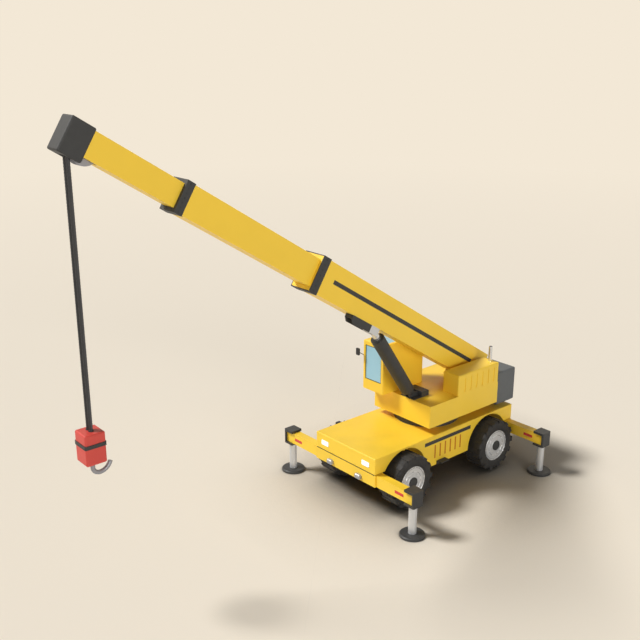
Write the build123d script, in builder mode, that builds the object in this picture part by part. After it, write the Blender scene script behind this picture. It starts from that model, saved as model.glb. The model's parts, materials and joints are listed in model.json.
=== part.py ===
from build123d import *
from math import atan2, cos, degrees, hypot, radians, sin, sqrt
import os

# Mobile crane: a two-axle carrier standing on four outriggers, with a slewing upper structure,
# an operator's cab and a three-part telescopic boom with a hoist line and hook block.
# Millimetres. +X points forward, +Y to the crane's left, +Z up, with the ground at Z = 0.
# The origin lies on the ground under the middle of the whole crane.
# Carrier sizes are measured from the carrier's own middle, which stands at X = carrier_x.

# ---------------------------------------------------------------- clearances
slide_gap = 0.5          # each side of a telescoping section
box_gap = 0.8            # each side of an outrigger beam in its box
pin_gap = 0.05           # radial running clearance at pins and spindles
seat_gap = 0.3           # between a loose piece and its seat
door_gap = 8.0           # around the cab door

# ---------------------------------------------------------------- carrier
body_half_length = 3131.0
body_half_width = 1300.0
deck_z = 1888.0
hood_bottom_z = 1398.0
skirt_bottom_z = 888.0
body_wall = 25.0
deck_thickness = 30.0
body_edge_radius = 28.0

wheel_to_box = 65.0      # tyre tread to the outrigger box
wheel_z = 900.0
track_half = 1370.0      # tyre mid-plane and kingpin
arch_radius = 950.0
arch_inner_y = 640.0

slot_count = 6
slot_margin = 390.0      # arch centre line's reach to the outermost slot, along the side
slot_width = 60.0
slot_low_z = 1120.0
slot_high_z = 1560.0
slot_depth = 14.0

# ---------------------------------------------------------------- wheels
tyre_radius = 820.0      # over the lugs
tyre_half_width = 330.0
carcass_radius = 795.0
bead_radius = 500.0
lug_count = 14
lug_length = 160.0
lug_root_radius = 722.0  # where the lugs leave the sidewall
lug_buried = 30.0
rim_wall = 34.0
spindle_radius = 60.0
hub_cap_radius = 161.0
kingpin_radius = 35.0
knuckle_radius = 70.0
knuckle_half_height = 150.0
yoke_thickness = 45.0
yoke_half_width = 75.0
fork_length = 220.0
axle_tube_radius = 120.0
differential_radius = 210.0

# ---------------------------------------------------------------- chassis
rail_inner_y = 330.0
rail_outer_y = 430.0
rail_low_z = 1130.0
rail_high_z = 1370.0
rail_wall = 14.0
gearbox_half_length = 250.0
gearbox_half_width = 200.0
gearbox_low_z = 760.0
gearbox_bevel = 100.0
shaft_radius = 45.0
pedestal_radius = 800.0
pedestal_wall = 40.0
tow_bore_radius = 20.0
tow_plate = 30.0
tow_gap = 70.0
tow_z = 1188.0
tow_reach = 150.0
tow_half_width = 65.0

# ---------------------------------------------------------------- outriggers
beam_half_depth = 132.0
beam_low_z = 1015.0
beam_high_z = 1365.0
beam_inner_y = 780.0
beam_outer_y = 2790.0
beam_wall = 16.0
box_front_wall = 42.2
box_rear_wall = 18.2
box_low_z = 1000.0
box_high_z = 1376.0
cap_inner_y = 2480.0
cap_half_depth = 200.0
cap_low_z = 960.0
cap_high_z = 1440.0
cap_end_plate = 70.0
jack_y = 2660.0
jack_radius = 120.0
jack_top_z = 1045.0
jack_lid = 10.0
pad_radius = 370.0
pad_thickness = 85.0
pad_bevel = 28.0

# ---------------------------------------------------------------- slewing upper structure
slew_x = -380.0
ring_radius = 1035.0
ring_bore_radius = 880.0
ring_high_z = 2109.0
race_gap = 0.5           # radial, between the two races
race_wall = 95.0
upper_gap = 5.0          # between what turns and what it turns over

platform_front_x = 761.0
platform_rear_x = -2440.0
platform_half_width = 1200.0
platform_low_z = 2114.0
platform_high_z = 2823.0
platform_wall = 30.0
platform_edge_radius = 25.0
pocket_half_width = 367.0
pocket_front_x = -1600.0
pocket_floor_z = 2450.0

counterweight_rear_x = -3330.0
counterweight_low_z = 2000.0
counterweight_high_z = 3120.0
counterweight_edge_radius = 55.0
notch_rear_x = -3000.0
notch_low_z = 2500.0
notch_half_width = 420.0

cover_front_x = -500.0
cover_inner_y = 550.0
cover_high_z = 3500.0
cover_wall = 30.0
cover_edge_radius = 40.0
louvre_count = 6
louvre_first_x = -784.0
louvre_pitch = 279.0
louvre_width = 90.0
louvre_low_z = 2900.0
louvre_high_z = 3370.0
louvre_depth = 16.0
exhaust_x = -2280.0
exhaust_y = 950.0
exhaust_radius = 60.0
exhaust_wall = 8.0
exhaust_height = 500.0

# ---------------------------------------------------------------- cab
cab_rear_x = -600.0
cab_front_x = 1186.0
cab_right_y = -1310.0
cab_left_y = -410.0
cab_high_z = 4430.0
cab_wall = 50.0
cab_edge_radius = 35.0
glass_thickness = 8.0
glass_inset = 18.0       # from the wall's outer face to the pane's
windscreen_low_z = 3160.0
windscreen_high_z = 4290.0
pane_margin = 100.0      # from the cab's corners to a window
roof_pane_rear_x = 150.0
roof_pane_front_x = 950.0
door_rear_x = -100.0
door_front_x = 950.0
door_low_z = 2920.0
door_high_z = 4340.0
door_pane_low_z = 3420.0
door_frame = 90.0
hinge_radius = 8.0
hinge_barrel_radius = 16.0
hinge_height = 100.0
hinge_lug = 22.0
hinge_stand_off = 3.0

# ---------------------------------------------------------------- boom
boom_angle = 31.95       # above level
boom_x = -2880.0         # the boom's own origin: rear end of its top line
boom_z = 3426.0

base_rear_s = -50.0      # along the boom from its origin
base_front_s = 8430.0
base_half_width = 360.0
base_height = 1000.0
base_wall = 18.0
base_front_plate = 60.0
heel_corner_s = 450.0
heel_corner_n = -450.0
pivot_s = 650.0
pivot_n = -655.0
pivot_radius = 60.0
pivot_sleeve_radius = 105.0

mid_rear_s = 6170.0
mid_front_s = 13170.0
mid_half_width = 290.0
mid_height = 780.0
mid_wall = 14.0
mid_foot = 200.0

tip_rear_s = 8760.0
tip_front_s = 15720.0
tip_half_width = 225.0
tip_height = 620.0
tip_wall = 12.0
tip_foot = 150.0

base_collar_length = 290.0
base_collar_rim = 28.0
mid_collar_length = 240.0
mid_collar_rim = 25.0
mid_collar_plate = 20.0

head_rear_s = 15660.0
head_front_s = 16275.0
head_half_width = 255.0
head_top_n = -140.0
head_bottom_n = -960.0
head_wall = 16.0
head_edge_radius = 42.0

sheave_s = 15660.0
sheave_n = -630.0
sheave_radius = 360.0
sheave_groove_radius = 330.0
sheave_y = 64.0
sheave_half_width = 60.0
sheave_flange = 8.0
sheave_pin_radius = 40.0
sheave_hub_radius = 80.0
sheave_slot_half_width = 140.0
sheave_slot_margin = 25.0

# ---------------------------------------------------------------- luffing cylinder
cylinder_y = 220.0
cylinder_foot_x = 650.0
cylinder_foot_z = 2950.0
rod_eye_s = 5420.0
rod_eye_n = -1100.0
barrel_radius = 210.0
barrel_start = 165.0
barrel_end = 2550.0
barrel_floor = 70.0
rod_radius = 110.0
rod_start = 260.0
rod_eye_radius = 88.0
eye_half_width = 65.0
eye_radius = 85.0
cylinder_pin_radius = 40.0
ear_radius = 120.0
ear_thickness = 50.0
foot_plate = 27.0
foot_rear_x = 80.0
foot_front_x = 730.0
foot_half_width = 280.0
foot_block_front_x = 400.0
foot_block_height = 187.0
bracket_rear_s = 5300.0
bracket_front_s = 6520.0
bracket_height = 225.0
bracket_cheek = 40.0
bracket_front_plate = 60.0

# ---------------------------------------------------------------- hoist
rope_radius = 50.0
block_half_length = 260.0
block_half_width = 265.0
block_low_z = 3990.0
block_high_z = 4775.0
block_edge_radius = 45.0
block_band_low_z = 4425.0
block_band_high_z = 4520.0
block_band_rim = 14.0
hook_radius = 55.0
hook_shank_radius = 40.0
hook_shank_seat = 150.0
hook_bend_z = 3825.0
hook_bend_radius = 170.0
hook_lip_radius = 298.0
hook_lip_angle = 72.0

# ---------------------------------------------------------------- lamps, steps, mirror
headlamp_y = 890.0
headlamp_z = 1624.0
headlamp_width = 304.0
headlamp_height = 150.0
headlamp_depth = 14.0
bumper_lamp_y = 620.0
bumper_lamp_z = 1120.0
bumper_lamp_width = 240.0
bumper_lamp_height = 150.0
bumper_lamp_depth = 90.0
tail_lamp_y = 1090.0
tail_lamp_z = 1600.0
tail_lamp_width = 240.0
tail_lamp_height = 110.0
tail_lamp_depth = 30.0
warning_lamp_y = 1090.0
warning_lamp_low_z = 2500.0
warning_lamp_high_z = 2780.0
warning_lamp_width = 100.0
warning_lamp_depth = 40.0
step_rear_x = 120.0
step_front_x = 500.0
step_reach = 200.0
step_high_z = 1010.0
step_thickness = 30.0
step_riser = 120.0
mirror_x = 1330.0
mirror_y = -1400.0
mirror_z = 4030.0
mirror_height = 230.0
mirror_width = 150.0
mirror_depth = 34.0
mirror_arm_radius = 14.0
mirror_foot_x = 1135.0
mirror_foot_z = 3890.0

# ---------------------------------------------------------------- worked-out places
boom_cos = cos(radians(boom_angle))
boom_sin = sin(radians(boom_angle))
boom_mid_n = -base_height / 2
mid_top_n = boom_mid_n + mid_height / 2
tip_top_n = boom_mid_n + tip_height / 2
tip_bottom_n = boom_mid_n - tip_height / 2

beam_x = body_half_length - box_front_wall - box_gap - beam_half_depth
box_rear_x = beam_x - beam_half_depth - box_gap - box_rear_wall
wheel_x = box_rear_x - wheel_to_box - tyre_radius
slot_pitch = 2 * (wheel_x - arch_radius - slot_margin) / (slot_count - 1)

front_reach = boom_x + head_front_s * boom_cos - head_bottom_n * boom_sin
rear_reach = -counterweight_rear_x + warning_lamp_depth
carrier_x = -(front_reach - rear_reach) / 2


def boom_xz(s, n):
    """X from the carrier's middle, and Z, of a place s along the boom and n above its top line."""
    return (boom_x + s * boom_cos - n * boom_sin, boom_z + s * boom_sin + n * boom_cos)


pivot_x, pivot_z = boom_xz(pivot_s, pivot_n)
sheave_x, sheave_z = boom_xz(sheave_s, sheave_n)
eye_x, eye_z = boom_xz(rod_eye_s, rod_eye_n)
rope_x = sheave_x + sheave_groove_radius + seat_gap + rope_radius
cylinder_length = hypot(eye_x - cylinder_foot_x, eye_z - cylinder_foot_z)
cylinder_cos = (eye_x - cylinder_foot_x) / cylinder_length
cylinder_sin = (eye_z - cylinder_foot_z) / cylinder_length
hinge_x = door_rear_x - door_gap / 2
hinge_y = cab_right_y - hinge_barrel_radius - hinge_stand_off


def plan(z):
    """Level plane at height z, drawn in X forward and Y left."""
    return Plane(origin=(carrier_x, 0, z), x_dir=(1, 0, 0), z_dir=(0, 0, 1))


def side(y):
    """Upright plane along the crane, drawn in X forward and Z up. It extrudes to the right."""
    return Plane(origin=(carrier_x, y, 0), x_dir=(1, 0, 0), z_dir=(0, -1, 0))


def across(x):
    """Upright plane across the crane, drawn in Y left and Z up. It extrudes forward."""
    return Plane(origin=(carrier_x + x, 0, 0), x_dir=(0, 1, 0), z_dir=(1, 0, 0))


def wheel_plane(forward):
    """Upright plane through an axle, drawn in Y left and height above the wheel centres."""
    return Plane(origin=(carrier_x + forward * wheel_x, 0, wheel_z), x_dir=(0, 1, 0), z_dir=(1, 0, 0))


def wheel_side(forward, y):
    """Upright plane along the crane at y, centred on a wheel. It extrudes to the right."""
    return Plane(origin=(carrier_x + forward * wheel_x, y, wheel_z), x_dir=(1, 0, 0), z_dir=(0, -1, 0))


def boom_section(s):
    """Plane square to the boom at s, drawn in Y left and n. It extrudes towards the head."""
    x, z = boom_xz(s, 0)
    return Plane(origin=(carrier_x + x, 0, z), x_dir=(0, 1, 0), z_dir=(boom_cos, 0, boom_sin))


def boom_side(y):
    """Upright plane along the boom at y, drawn in s and n. It extrudes to the right."""
    return Plane(origin=(carrier_x + boom_x, y, boom_z), x_dir=(boom_cos, 0, boom_sin), z_dir=(0, -1, 0))


def cylinder_section(d):
    """Plane square to the luffing cylinder, d from its foot pin. It extrudes towards the boom."""
    x = carrier_x + cylinder_foot_x + d * cylinder_cos
    z = cylinder_foot_z + d * cylinder_sin
    return Plane(origin=(x, cylinder_y, z), x_dir=(0, 1, 0), z_dir=(cylinder_cos, 0, cylinder_sin))


def span(low_1, high_1, low_2, high_2):
    """Rectangle between two corners of the sketch in hand."""
    with Locations(((low_1 + high_1) / 2, (low_2 + high_2) / 2)):
        Rectangle(high_1 - low_1, high_2 - low_2)


corners = (
    # name, forward (+1 front, -1 rear), left (+1 left, -1 right)
    ("front_left", 1, 1),
    ("front_right", 1, -1),
    ("rear_left", -1, 1),
    ("rear_right", -1, -1),
)

os.makedirs("parts", exist_ok=True)

# ================================================================ carrier body
# A pressed shell: deck, side walls and ends, with a lined arch over each wheel and an open bottom.
deck_under_z = deck_z - deck_thickness


def body_outline():
    """Side outline of the body, with the ends cut short over the outrigger boxes."""
    span(-body_half_length, body_half_length, hood_bottom_z, deck_z)
    span(-wheel_x, wheel_x, skirt_bottom_z, hood_bottom_z)


with BuildPart() as carrier_body:
    with BuildSketch(side(body_half_width)):
        body_outline()
    extrude(amount=2 * body_half_width)
    upright = carrier_body.edges().filter_by(Axis.Z).group_by(Axis.X)
    fillet(upright[0] + upright[-1], body_edge_radius)
    fillet(carrier_body.faces().sort_by(Axis.Z)[-1].edges(), body_edge_radius)
    with BuildSketch(side(body_half_width - body_wall)):
        inside = body_half_length - body_wall
        span(-inside, inside, skirt_bottom_z - body_wall, deck_under_z)
    extrude(amount=2 * (body_half_width - body_wall), mode=Mode.SUBTRACT)
    for _, forward, left in corners:
        with BuildSketch(side(left * (body_half_width - body_wall))):
            body_outline()
            with Locations((forward * wheel_x, wheel_z)):
                Circle(arch_radius + body_wall, mode=Mode.INTERSECT)
        extrude(amount=left * (body_half_width - arch_inner_y))
    for _, forward, left in corners:
        with BuildSketch(wheel_side(forward, left * (body_half_width + 1))):
            Circle(arch_radius)
        extrude(amount=left * (body_half_width + 1 - arch_inner_y), mode=Mode.SUBTRACT)
        with BuildSketch(wheel_side(forward, left * (arch_inner_y + 1))):
            opening = axle_tube_radius + 2 * body_wall
            span(-opening, opening, skirt_bottom_z - wheel_z - 1, opening)
        extrude(amount=left * (body_wall + 2), mode=Mode.SUBTRACT)
    for left in (1, -1):
        with BuildSketch(side(left * body_half_width)):
            with Locations((0, (slot_low_z + slot_high_z) / 2)):
                with GridLocations(slot_pitch, 1, slot_count, 1):
                    Rectangle(slot_width, slot_high_z - slot_low_z)
        extrude(amount=left * slot_depth, mode=Mode.SUBTRACT)
carrier_body.part.label = "carrier_body"
export_step(carrier_body.part, "parts/carrier_body.step")

# ================================================================ chassis
# Each outrigger box is a tube across the body's end. The rear one carries the towing jaw.
for name, forward in (("outrigger_box_front", 1), ("outrigger_box_rear", -1)):
    with BuildPart() as outrigger_box:
        with BuildSketch(side(body_half_width)):
            span(*sorted((forward * box_rear_x, forward * body_half_length)), box_low_z, box_high_z)
        extrude(amount=2 * body_half_width)
        with BuildSketch(side(body_half_width + 1)):
            middle = forward * beam_x
            half_tunnel = beam_half_depth + box_gap
            span(middle - half_tunnel, middle + half_tunnel, beam_low_z - box_gap, beam_high_z + box_gap)
        extrude(amount=2 * (body_half_width + 1), mode=Mode.SUBTRACT)
        if forward < 0:
            jaw_x = -body_half_length - tow_reach + tow_half_width
            for plate_z in (tow_z - tow_gap / 2 - tow_plate, tow_z + tow_gap / 2):
                with BuildSketch(plan(plate_z)):
                    span(jaw_x, -body_half_length, -tow_half_width, tow_half_width)
                    with Locations((jaw_x, 0)):
                        Circle(tow_half_width)
                        Circle(tow_bore_radius, mode=Mode.SUBTRACT)
                extrude(amount=tow_plate)
    outrigger_box.part.label = name
    export_step(outrigger_box.part, f"parts/{name}.step")

# Two channel rails and their cross members join the boxes.
cross_half = 4 * rail_wall

with BuildPart() as chassis:
    for left in (1, -1):
        with BuildSketch(across(-box_rear_x)):
            with BuildLine():
                Polyline(
                    (left * rail_inner_y, rail_low_z),
                    (left * rail_outer_y, rail_low_z),
                    (left * rail_outer_y, rail_high_z),
                    (left * rail_inner_y, rail_high_z),
                    (left * rail_inner_y, rail_high_z - rail_wall),
                    (left * (rail_outer_y - rail_wall), rail_high_z - rail_wall),
                    (left * (rail_outer_y - rail_wall), rail_low_z + rail_wall),
                    (left * rail_inner_y, rail_low_z + rail_wall),
                    close=True,
                )
            make_face()
        extrude(amount=2 * box_rear_x)
    for cross_x in (-wheel_x, -gearbox_half_length, gearbox_half_length, wheel_x):
        with BuildSketch(side(rail_outer_y - rail_wall)):
            span(cross_x - cross_half, cross_x + cross_half, rail_low_z, rail_low_z + 2 * cross_half)
        extrude(amount=2 * (rail_outer_y - rail_wall))
chassis.part.label = "chassis"
export_step(chassis.part, "parts/chassis.step")

# The pedestal stands on the rails and carries the slewing ring through the deck.
with BuildPart() as slew_pedestal:
    with BuildSketch(plan(rail_high_z)):
        with Locations((slew_x, 0)):
            Circle(pedestal_radius)
            Circle(pedestal_radius - pedestal_wall, mode=Mode.SUBTRACT)
    extrude(amount=deck_under_z - rail_high_z)
slew_pedestal.part.label = "slew_pedestal"
export_step(slew_pedestal.part, "parts/slew_pedestal.step")

# ================================================================ axles, knuckles and driveline
# Each axle is a tube with a differential, two saddles under the rails and a fork at either end.
fork_inner_z = knuckle_half_height + 1
fork_outer_z = fork_inner_z + yoke_thickness
fork_root_y = track_half - fork_length

with BuildPart() as axles:
    for forward in (1, -1):
        with BuildSketch(wheel_side(forward, fork_root_y)):
            Circle(axle_tube_radius)
        extrude(amount=2 * fork_root_y)
        with Locations((carrier_x + forward * wheel_x, 0, wheel_z)):
            Sphere(differential_radius)
        for left in (1, -1):
            with BuildSketch(side(left * rail_outer_y)):
                middle = forward * wheel_x
                span(middle - yoke_half_width, middle + yoke_half_width, wheel_z, rail_low_z)
            extrude(amount=left * (rail_outer_y - rail_inner_y))
            with BuildSketch(wheel_side(forward, left * (fork_root_y + yoke_thickness))):
                span(-yoke_half_width, yoke_half_width, -fork_outer_z, fork_outer_z)
            extrude(amount=left * yoke_thickness)
            for arm_low_z in (-fork_outer_z, fork_inner_z):
                with BuildSketch(plan(wheel_z + arm_low_z)):
                    middle = forward * wheel_x
                    span(middle - yoke_half_width, middle + yoke_half_width,
                         *sorted((left * fork_root_y, left * track_half)))
                    with Locations((middle, left * track_half)):
                        Circle(yoke_half_width)
                        Circle(kingpin_radius + pin_gap, mode=Mode.SUBTRACT)
                extrude(amount=yoke_thickness)
axles.part.label = "axles"
export_step(axles.part, "parts/axles.step")

# The knuckle turns on its kingpin between the fork's arms and holds the wheel's spindle.
hub_inner_y = 140.0      # wheel hub's inner end, from the tyre's mid-plane
rim_face_y = 300.0       # wheel disc's outer edge
hub_cap_y = 336.0
hub_cap_bevel = 8.0
hub_flange = 20.0
disc_outer_y = 290.0
disc_inner_y = 262.0
hub_radius = 110.0
rim_radius = bead_radius - seat_gap

for name, forward, left in corners:
    with BuildPart() as knuckle:
        with BuildSketch(plan(wheel_z - knuckle_half_height)):
            with Locations((forward * wheel_x, left * track_half)):
                Circle(knuckle_radius)
        extrude(amount=2 * knuckle_half_height)
        with BuildSketch(plan(wheel_z - fork_outer_z)):
            with Locations((forward * wheel_x, left * track_half)):
                Circle(kingpin_radius)
        extrude(amount=2 * fork_outer_z)
        with BuildSketch(wheel_side(forward, left * (track_half + rim_face_y - seat_gap))):
            Circle(spindle_radius)
        extrude(amount=left * rim_face_y)
        with BuildSketch(wheel_side(forward, left * (track_half + hub_inner_y - 1))):
            Circle(hub_radius)
        extrude(amount=left * spindle_radius / 2)
    knuckle.part.label = f"knuckle_{name}"
    export_step(knuckle.part, f"parts/knuckle_{name}.step")

# Gearbox between the rails, with a propeller shaft to either axle.
with BuildPart() as driveline:
    with BuildSketch(side(gearbox_half_width)):
        with BuildLine():
            Polyline(
                (-gearbox_half_length, rail_low_z),
                (gearbox_half_length, rail_low_z),
                (gearbox_half_length, gearbox_low_z + gearbox_bevel),
                (gearbox_half_length - gearbox_bevel, gearbox_low_z),
                (-gearbox_half_length + gearbox_bevel, gearbox_low_z),
                (-gearbox_half_length, gearbox_low_z + gearbox_bevel),
                close=True,
            )
        make_face()
    extrude(amount=2 * gearbox_half_width)
    with BuildSketch(across(-wheel_x + differential_radius)):
        with Locations((0, wheel_z)):
            Circle(shaft_radius)
    extrude(amount=2 * (wheel_x - differential_radius))
driveline.part.label = "driveline"
export_step(driveline.part, "parts/driveline.step")

# ================================================================ wheels
tread_radius = sqrt(tyre_radius ** 2 - (lug_length / 2) ** 2)
lug_low_radius = lug_root_radius - lug_buried
shoulder_y = 262.0
lug_outer_y = 318.0
lug_inner_y = -24.0
bead_y = 290.0
sidewall_step = 4.0      # how far the sidewall bulges above the bead
sidewall_height = lug_root_radius - bead_radius

for name, forward, left in corners:
    axle_line = Axis((carrier_x + forward * wheel_x, 0, wheel_z), (0, 1, 0))
    middle_y = left * track_half
    with BuildPart() as tyre:
        with BuildSketch(wheel_plane(forward)):
            with BuildLine():
                half_section = (
                    # from the tyre's mid-plane, radius
                    (bead_y, bead_radius),
                    (tyre_half_width - sidewall_step, bead_radius + sidewall_height / 3),
                    (tyre_half_width, bead_radius + 2 * sidewall_height / 3),
                    (lug_outer_y, lug_root_radius),
                    (shoulder_y, carcass_radius),
                )
                Polyline(
                    *((middle_y + y, r) for y, r in half_section),
                    *((middle_y - y, r) for y, r in reversed(half_section)),
                    close=True,
                )
            make_face()
        revolve(axis=axle_line)
        for row, turn in ((1, 0), (-1, 180 / lug_count)):
            row_left = middle_y + row * lug_outer_y
            with BuildSketch(wheel_side(forward, row_left)):
                with PolarLocations((lug_low_radius + tread_radius) / 2, lug_count, start_angle=turn):
                    Rectangle(tread_radius - lug_low_radius, lug_length)
            extrude(amount=row * (lug_outer_y - lug_inner_y))
    tyre.part.label = f"tyre_{name}"
    export_step(tyre.part, f"parts/tyre_{name}.step")

    with BuildPart() as rim:
        with BuildSketch(wheel_plane(forward)):
            with BuildLine():
                section = (
                    # outwards from the tyre's mid-plane, radius
                    (-bead_y, rim_radius),
                    (rim_face_y, rim_radius),
                    (rim_face_y, rim_radius - rim_wall / 2),
                    (disc_outer_y, rim_radius - rim_wall),
                    (disc_outer_y, hub_cap_radius + 2 * hub_flange),
                    (rim_face_y, hub_cap_radius + hub_flange),
                    (rim_face_y, hub_cap_radius),
                    (hub_cap_y - hub_cap_bevel, hub_cap_radius),
                    (hub_cap_y, hub_cap_radius - hub_cap_bevel),
                    (hub_cap_y, 0),
                    (rim_face_y, 0),
                    (rim_face_y, spindle_radius + pin_gap),
                    (hub_inner_y, spindle_radius + pin_gap),
                    (hub_inner_y, hub_radius),
                    (disc_inner_y, hub_radius),
                    (disc_inner_y, rim_radius - rim_wall),
                    (-bead_y, rim_radius - rim_wall),
                )
                Polyline(*((middle_y + left * y, r) for y, r in section), close=True)
            make_face()
        revolve(axis=axle_line)
    rim.part.label = f"rim_{name}"
    export_step(rim.part, f"parts/rim_{name}.step")

# ================================================================ outriggers
# A box beam slides out of each end of either box. Its end carries the jack in a capped housing.
beam_blocks = (
    # low and high distance from the crane's middle plane, half depth, low z, high z, mode
    (beam_inner_y, beam_outer_y, beam_half_depth, beam_low_z, beam_high_z, Mode.ADD),
    (beam_inner_y - 1, cap_inner_y, beam_half_depth - beam_wall,
     beam_low_z + beam_wall, beam_high_z - beam_wall, Mode.SUBTRACT),
    (cap_inner_y, beam_outer_y, cap_half_depth, beam_high_z, cap_high_z, Mode.ADD),
    (cap_inner_y, beam_outer_y, cap_half_depth, cap_low_z, beam_low_z, Mode.ADD),
    (beam_outer_y, beam_outer_y + cap_end_plate, cap_half_depth, cap_low_z, cap_high_z, Mode.ADD),
)

for name, forward, left in corners:
    with BuildPart() as beam:
        for low_y, high_y, half_depth, low_z, high_z, mode in beam_blocks:
            with BuildSketch(side(left * high_y)):
                middle = forward * beam_x
                span(middle - half_depth, middle + half_depth, low_z, high_z)
            extrude(amount=left * (high_y - low_y), mode=mode)
        rims = beam.edges().filter_by(Axis.Z).sort_by(Axis.Y, reverse=left > 0)[0:2]
        fillet(rims, cap_end_plate * 0.6)
        with BuildSketch(plan(cap_low_z - 1)):
            with Locations((forward * beam_x, left * jack_y)):
                Circle(jack_radius + pin_gap)
        extrude(amount=cap_high_z - jack_lid - cap_low_z + 1, mode=Mode.SUBTRACT)
    beam.part.label = f"beam_{name}"
    export_step(beam.part, f"parts/beam_{name}.step")

    with BuildPart() as jack:
        with BuildSketch(plan(0)):
            with Locations((forward * beam_x, left * jack_y)):
                Circle(pad_radius)
        extrude(amount=pad_thickness)
        chamfer(jack.faces().sort_by(Axis.Z)[-1].edges(), pad_bevel)
        with BuildSketch(plan(pad_thickness)):
            with Locations((forward * beam_x, left * jack_y)):
                Circle(jack_radius)
        extrude(amount=jack_top_z - pad_thickness)
    jack.part.label = f"jack_{name}"
    export_step(jack.part, f"parts/jack_{name}.step")

# ================================================================ lamps and steps on the carrier
with BuildPart() as headlamps:
    with BuildSketch(across(body_half_length)):
        for left in (1, -1):
            with Locations((left * headlamp_y, headlamp_z)):
                RectangleRounded(headlamp_width, headlamp_height, headlamp_height / 4)
    extrude(amount=headlamp_depth)
headlamps.part.label = "headlamps"
export_step(headlamps.part, "parts/headlamps.step")

with BuildPart() as bumper_lamps:
    with BuildSketch(across(body_half_length)):
        with Locations((bumper_lamp_y, bumper_lamp_z), (-bumper_lamp_y, bumper_lamp_z)):
            RectangleRounded(bumper_lamp_width, bumper_lamp_height, bumper_lamp_height / 3)
    extrude(amount=bumper_lamp_depth)
    chamfer(bumper_lamps.faces().sort_by(Axis.X)[-2:].edges(), bumper_lamp_depth / 4)
bumper_lamps.part.label = "bumper_lamps"
export_step(bumper_lamps.part, "parts/bumper_lamps.step")

with BuildPart() as tail_lamps:
    with BuildSketch(across(-body_half_length)):
        for left in (1, -1):
            with Locations((left * tail_lamp_y, tail_lamp_z)):
                RectangleRounded(tail_lamp_width, tail_lamp_height, tail_lamp_height / 4)
    extrude(amount=-tail_lamp_depth)
tail_lamps.part.label = "tail_lamps"
export_step(tail_lamps.part, "parts/tail_lamps.step")

with BuildPart() as side_steps:
    for left in (1, -1):
        with BuildSketch(side(left * (body_half_width + step_reach))):
            span(step_rear_x, step_front_x, step_high_z - step_thickness, step_high_z)
        extrude(amount=left * step_reach)
        with BuildSketch(side(left * (body_half_width + step_thickness / 2))):
            span(step_rear_x, step_front_x, step_high_z - step_riser, step_high_z)
        extrude(amount=left * step_thickness / 2)
side_steps.part.label = "side_steps"
export_step(side_steps.part, "parts/side_steps.step")

# ================================================================ slewing ring and platform
with BuildPart() as slew_ring:
    with BuildSketch(plan(deck_z)):
        with Locations((slew_x, 0)):
            Circle(ring_radius)
            Circle(ring_bore_radius, mode=Mode.SUBTRACT)
    extrude(amount=ring_high_z - deck_z)
slew_ring.part.label = "slew_ring"
export_step(slew_ring.part, "parts/slew_ring.step")

pocket_wall_front_x = pocket_front_x + platform_wall
pocket_wall_half_width = pocket_half_width + platform_wall
pocket_floor_under_z = pocket_floor_z - platform_wall

# A hollow welded box, open below inside the ring, with a pocket that the boom's heel dips into.
with BuildPart() as platform:
    with BuildSketch(plan(platform_low_z)):
        span(platform_rear_x, platform_front_x, -platform_half_width, platform_half_width)
    extrude(amount=platform_high_z - platform_low_z)
    upright = platform.edges().filter_by(Axis.Z).group_by(Axis.X)
    fillet(upright[-1], platform_edge_radius)
    inner_half_width = platform_half_width - platform_wall
    with BuildSketch(plan(platform_low_z + platform_wall)):
        span(platform_rear_x + platform_wall, platform_front_x - platform_wall,
             -inner_half_width, inner_half_width)
    extrude(amount=pocket_floor_under_z - platform_low_z - platform_wall, mode=Mode.SUBTRACT)
    with BuildSketch(plan(pocket_floor_under_z)):
        span(pocket_wall_front_x, platform_front_x - platform_wall, -inner_half_width, inner_half_width)
        span(platform_rear_x + platform_wall, pocket_wall_front_x,
             pocket_wall_half_width, inner_half_width)
        span(platform_rear_x + platform_wall, pocket_wall_front_x,
             -inner_half_width, -pocket_wall_half_width)
    extrude(amount=platform_high_z - platform_wall - pocket_floor_under_z, mode=Mode.SUBTRACT)
    with BuildSketch(plan(pocket_floor_z)):
        span(platform_rear_x - 1, pocket_front_x, -pocket_half_width, pocket_half_width)
    extrude(amount=platform_high_z - pocket_floor_z + 1, mode=Mode.SUBTRACT)
    inner_race_radius = ring_bore_radius - race_gap
    with BuildSketch(plan(deck_z + upper_gap)):
        with Locations((slew_x, 0)):
            Circle(inner_race_radius)
    extrude(amount=platform_low_z - deck_z - upper_gap)
    with BuildSketch(plan(deck_z)):
        with Locations((slew_x, 0)):
            Circle(inner_race_radius - race_wall)
    extrude(amount=platform_low_z + platform_wall + 1 - deck_z, mode=Mode.SUBTRACT)
platform.part.label = "platform"
export_step(platform.part, "parts/platform.step")

# Cast ballast with a notch for the boom's heel and a lamp at either rear corner.
with BuildPart() as counterweight:
    with BuildSketch(plan(counterweight_low_z)):
        span(counterweight_rear_x, platform_rear_x, -platform_half_width, platform_half_width)
    extrude(amount=counterweight_high_z - counterweight_low_z)
    rear_edges = counterweight.edges().filter_by(Axis.Z).group_by(Axis.X)[0]
    long_edges = counterweight.edges().filter_by(Axis.X)
    cross_edges = counterweight.edges().filter_by(Axis.Y).group_by(Axis.X)[0]
    fillet(rear_edges + long_edges + cross_edges, counterweight_edge_radius)
    with BuildSketch(plan(notch_low_z)):
        span(notch_rear_x, platform_rear_x + 1, -notch_half_width, notch_half_width)
    extrude(amount=counterweight_high_z - notch_low_z + 1, mode=Mode.SUBTRACT)
counterweight.part.label = "counterweight"
export_step(counterweight.part, "parts/counterweight.step")

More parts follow.
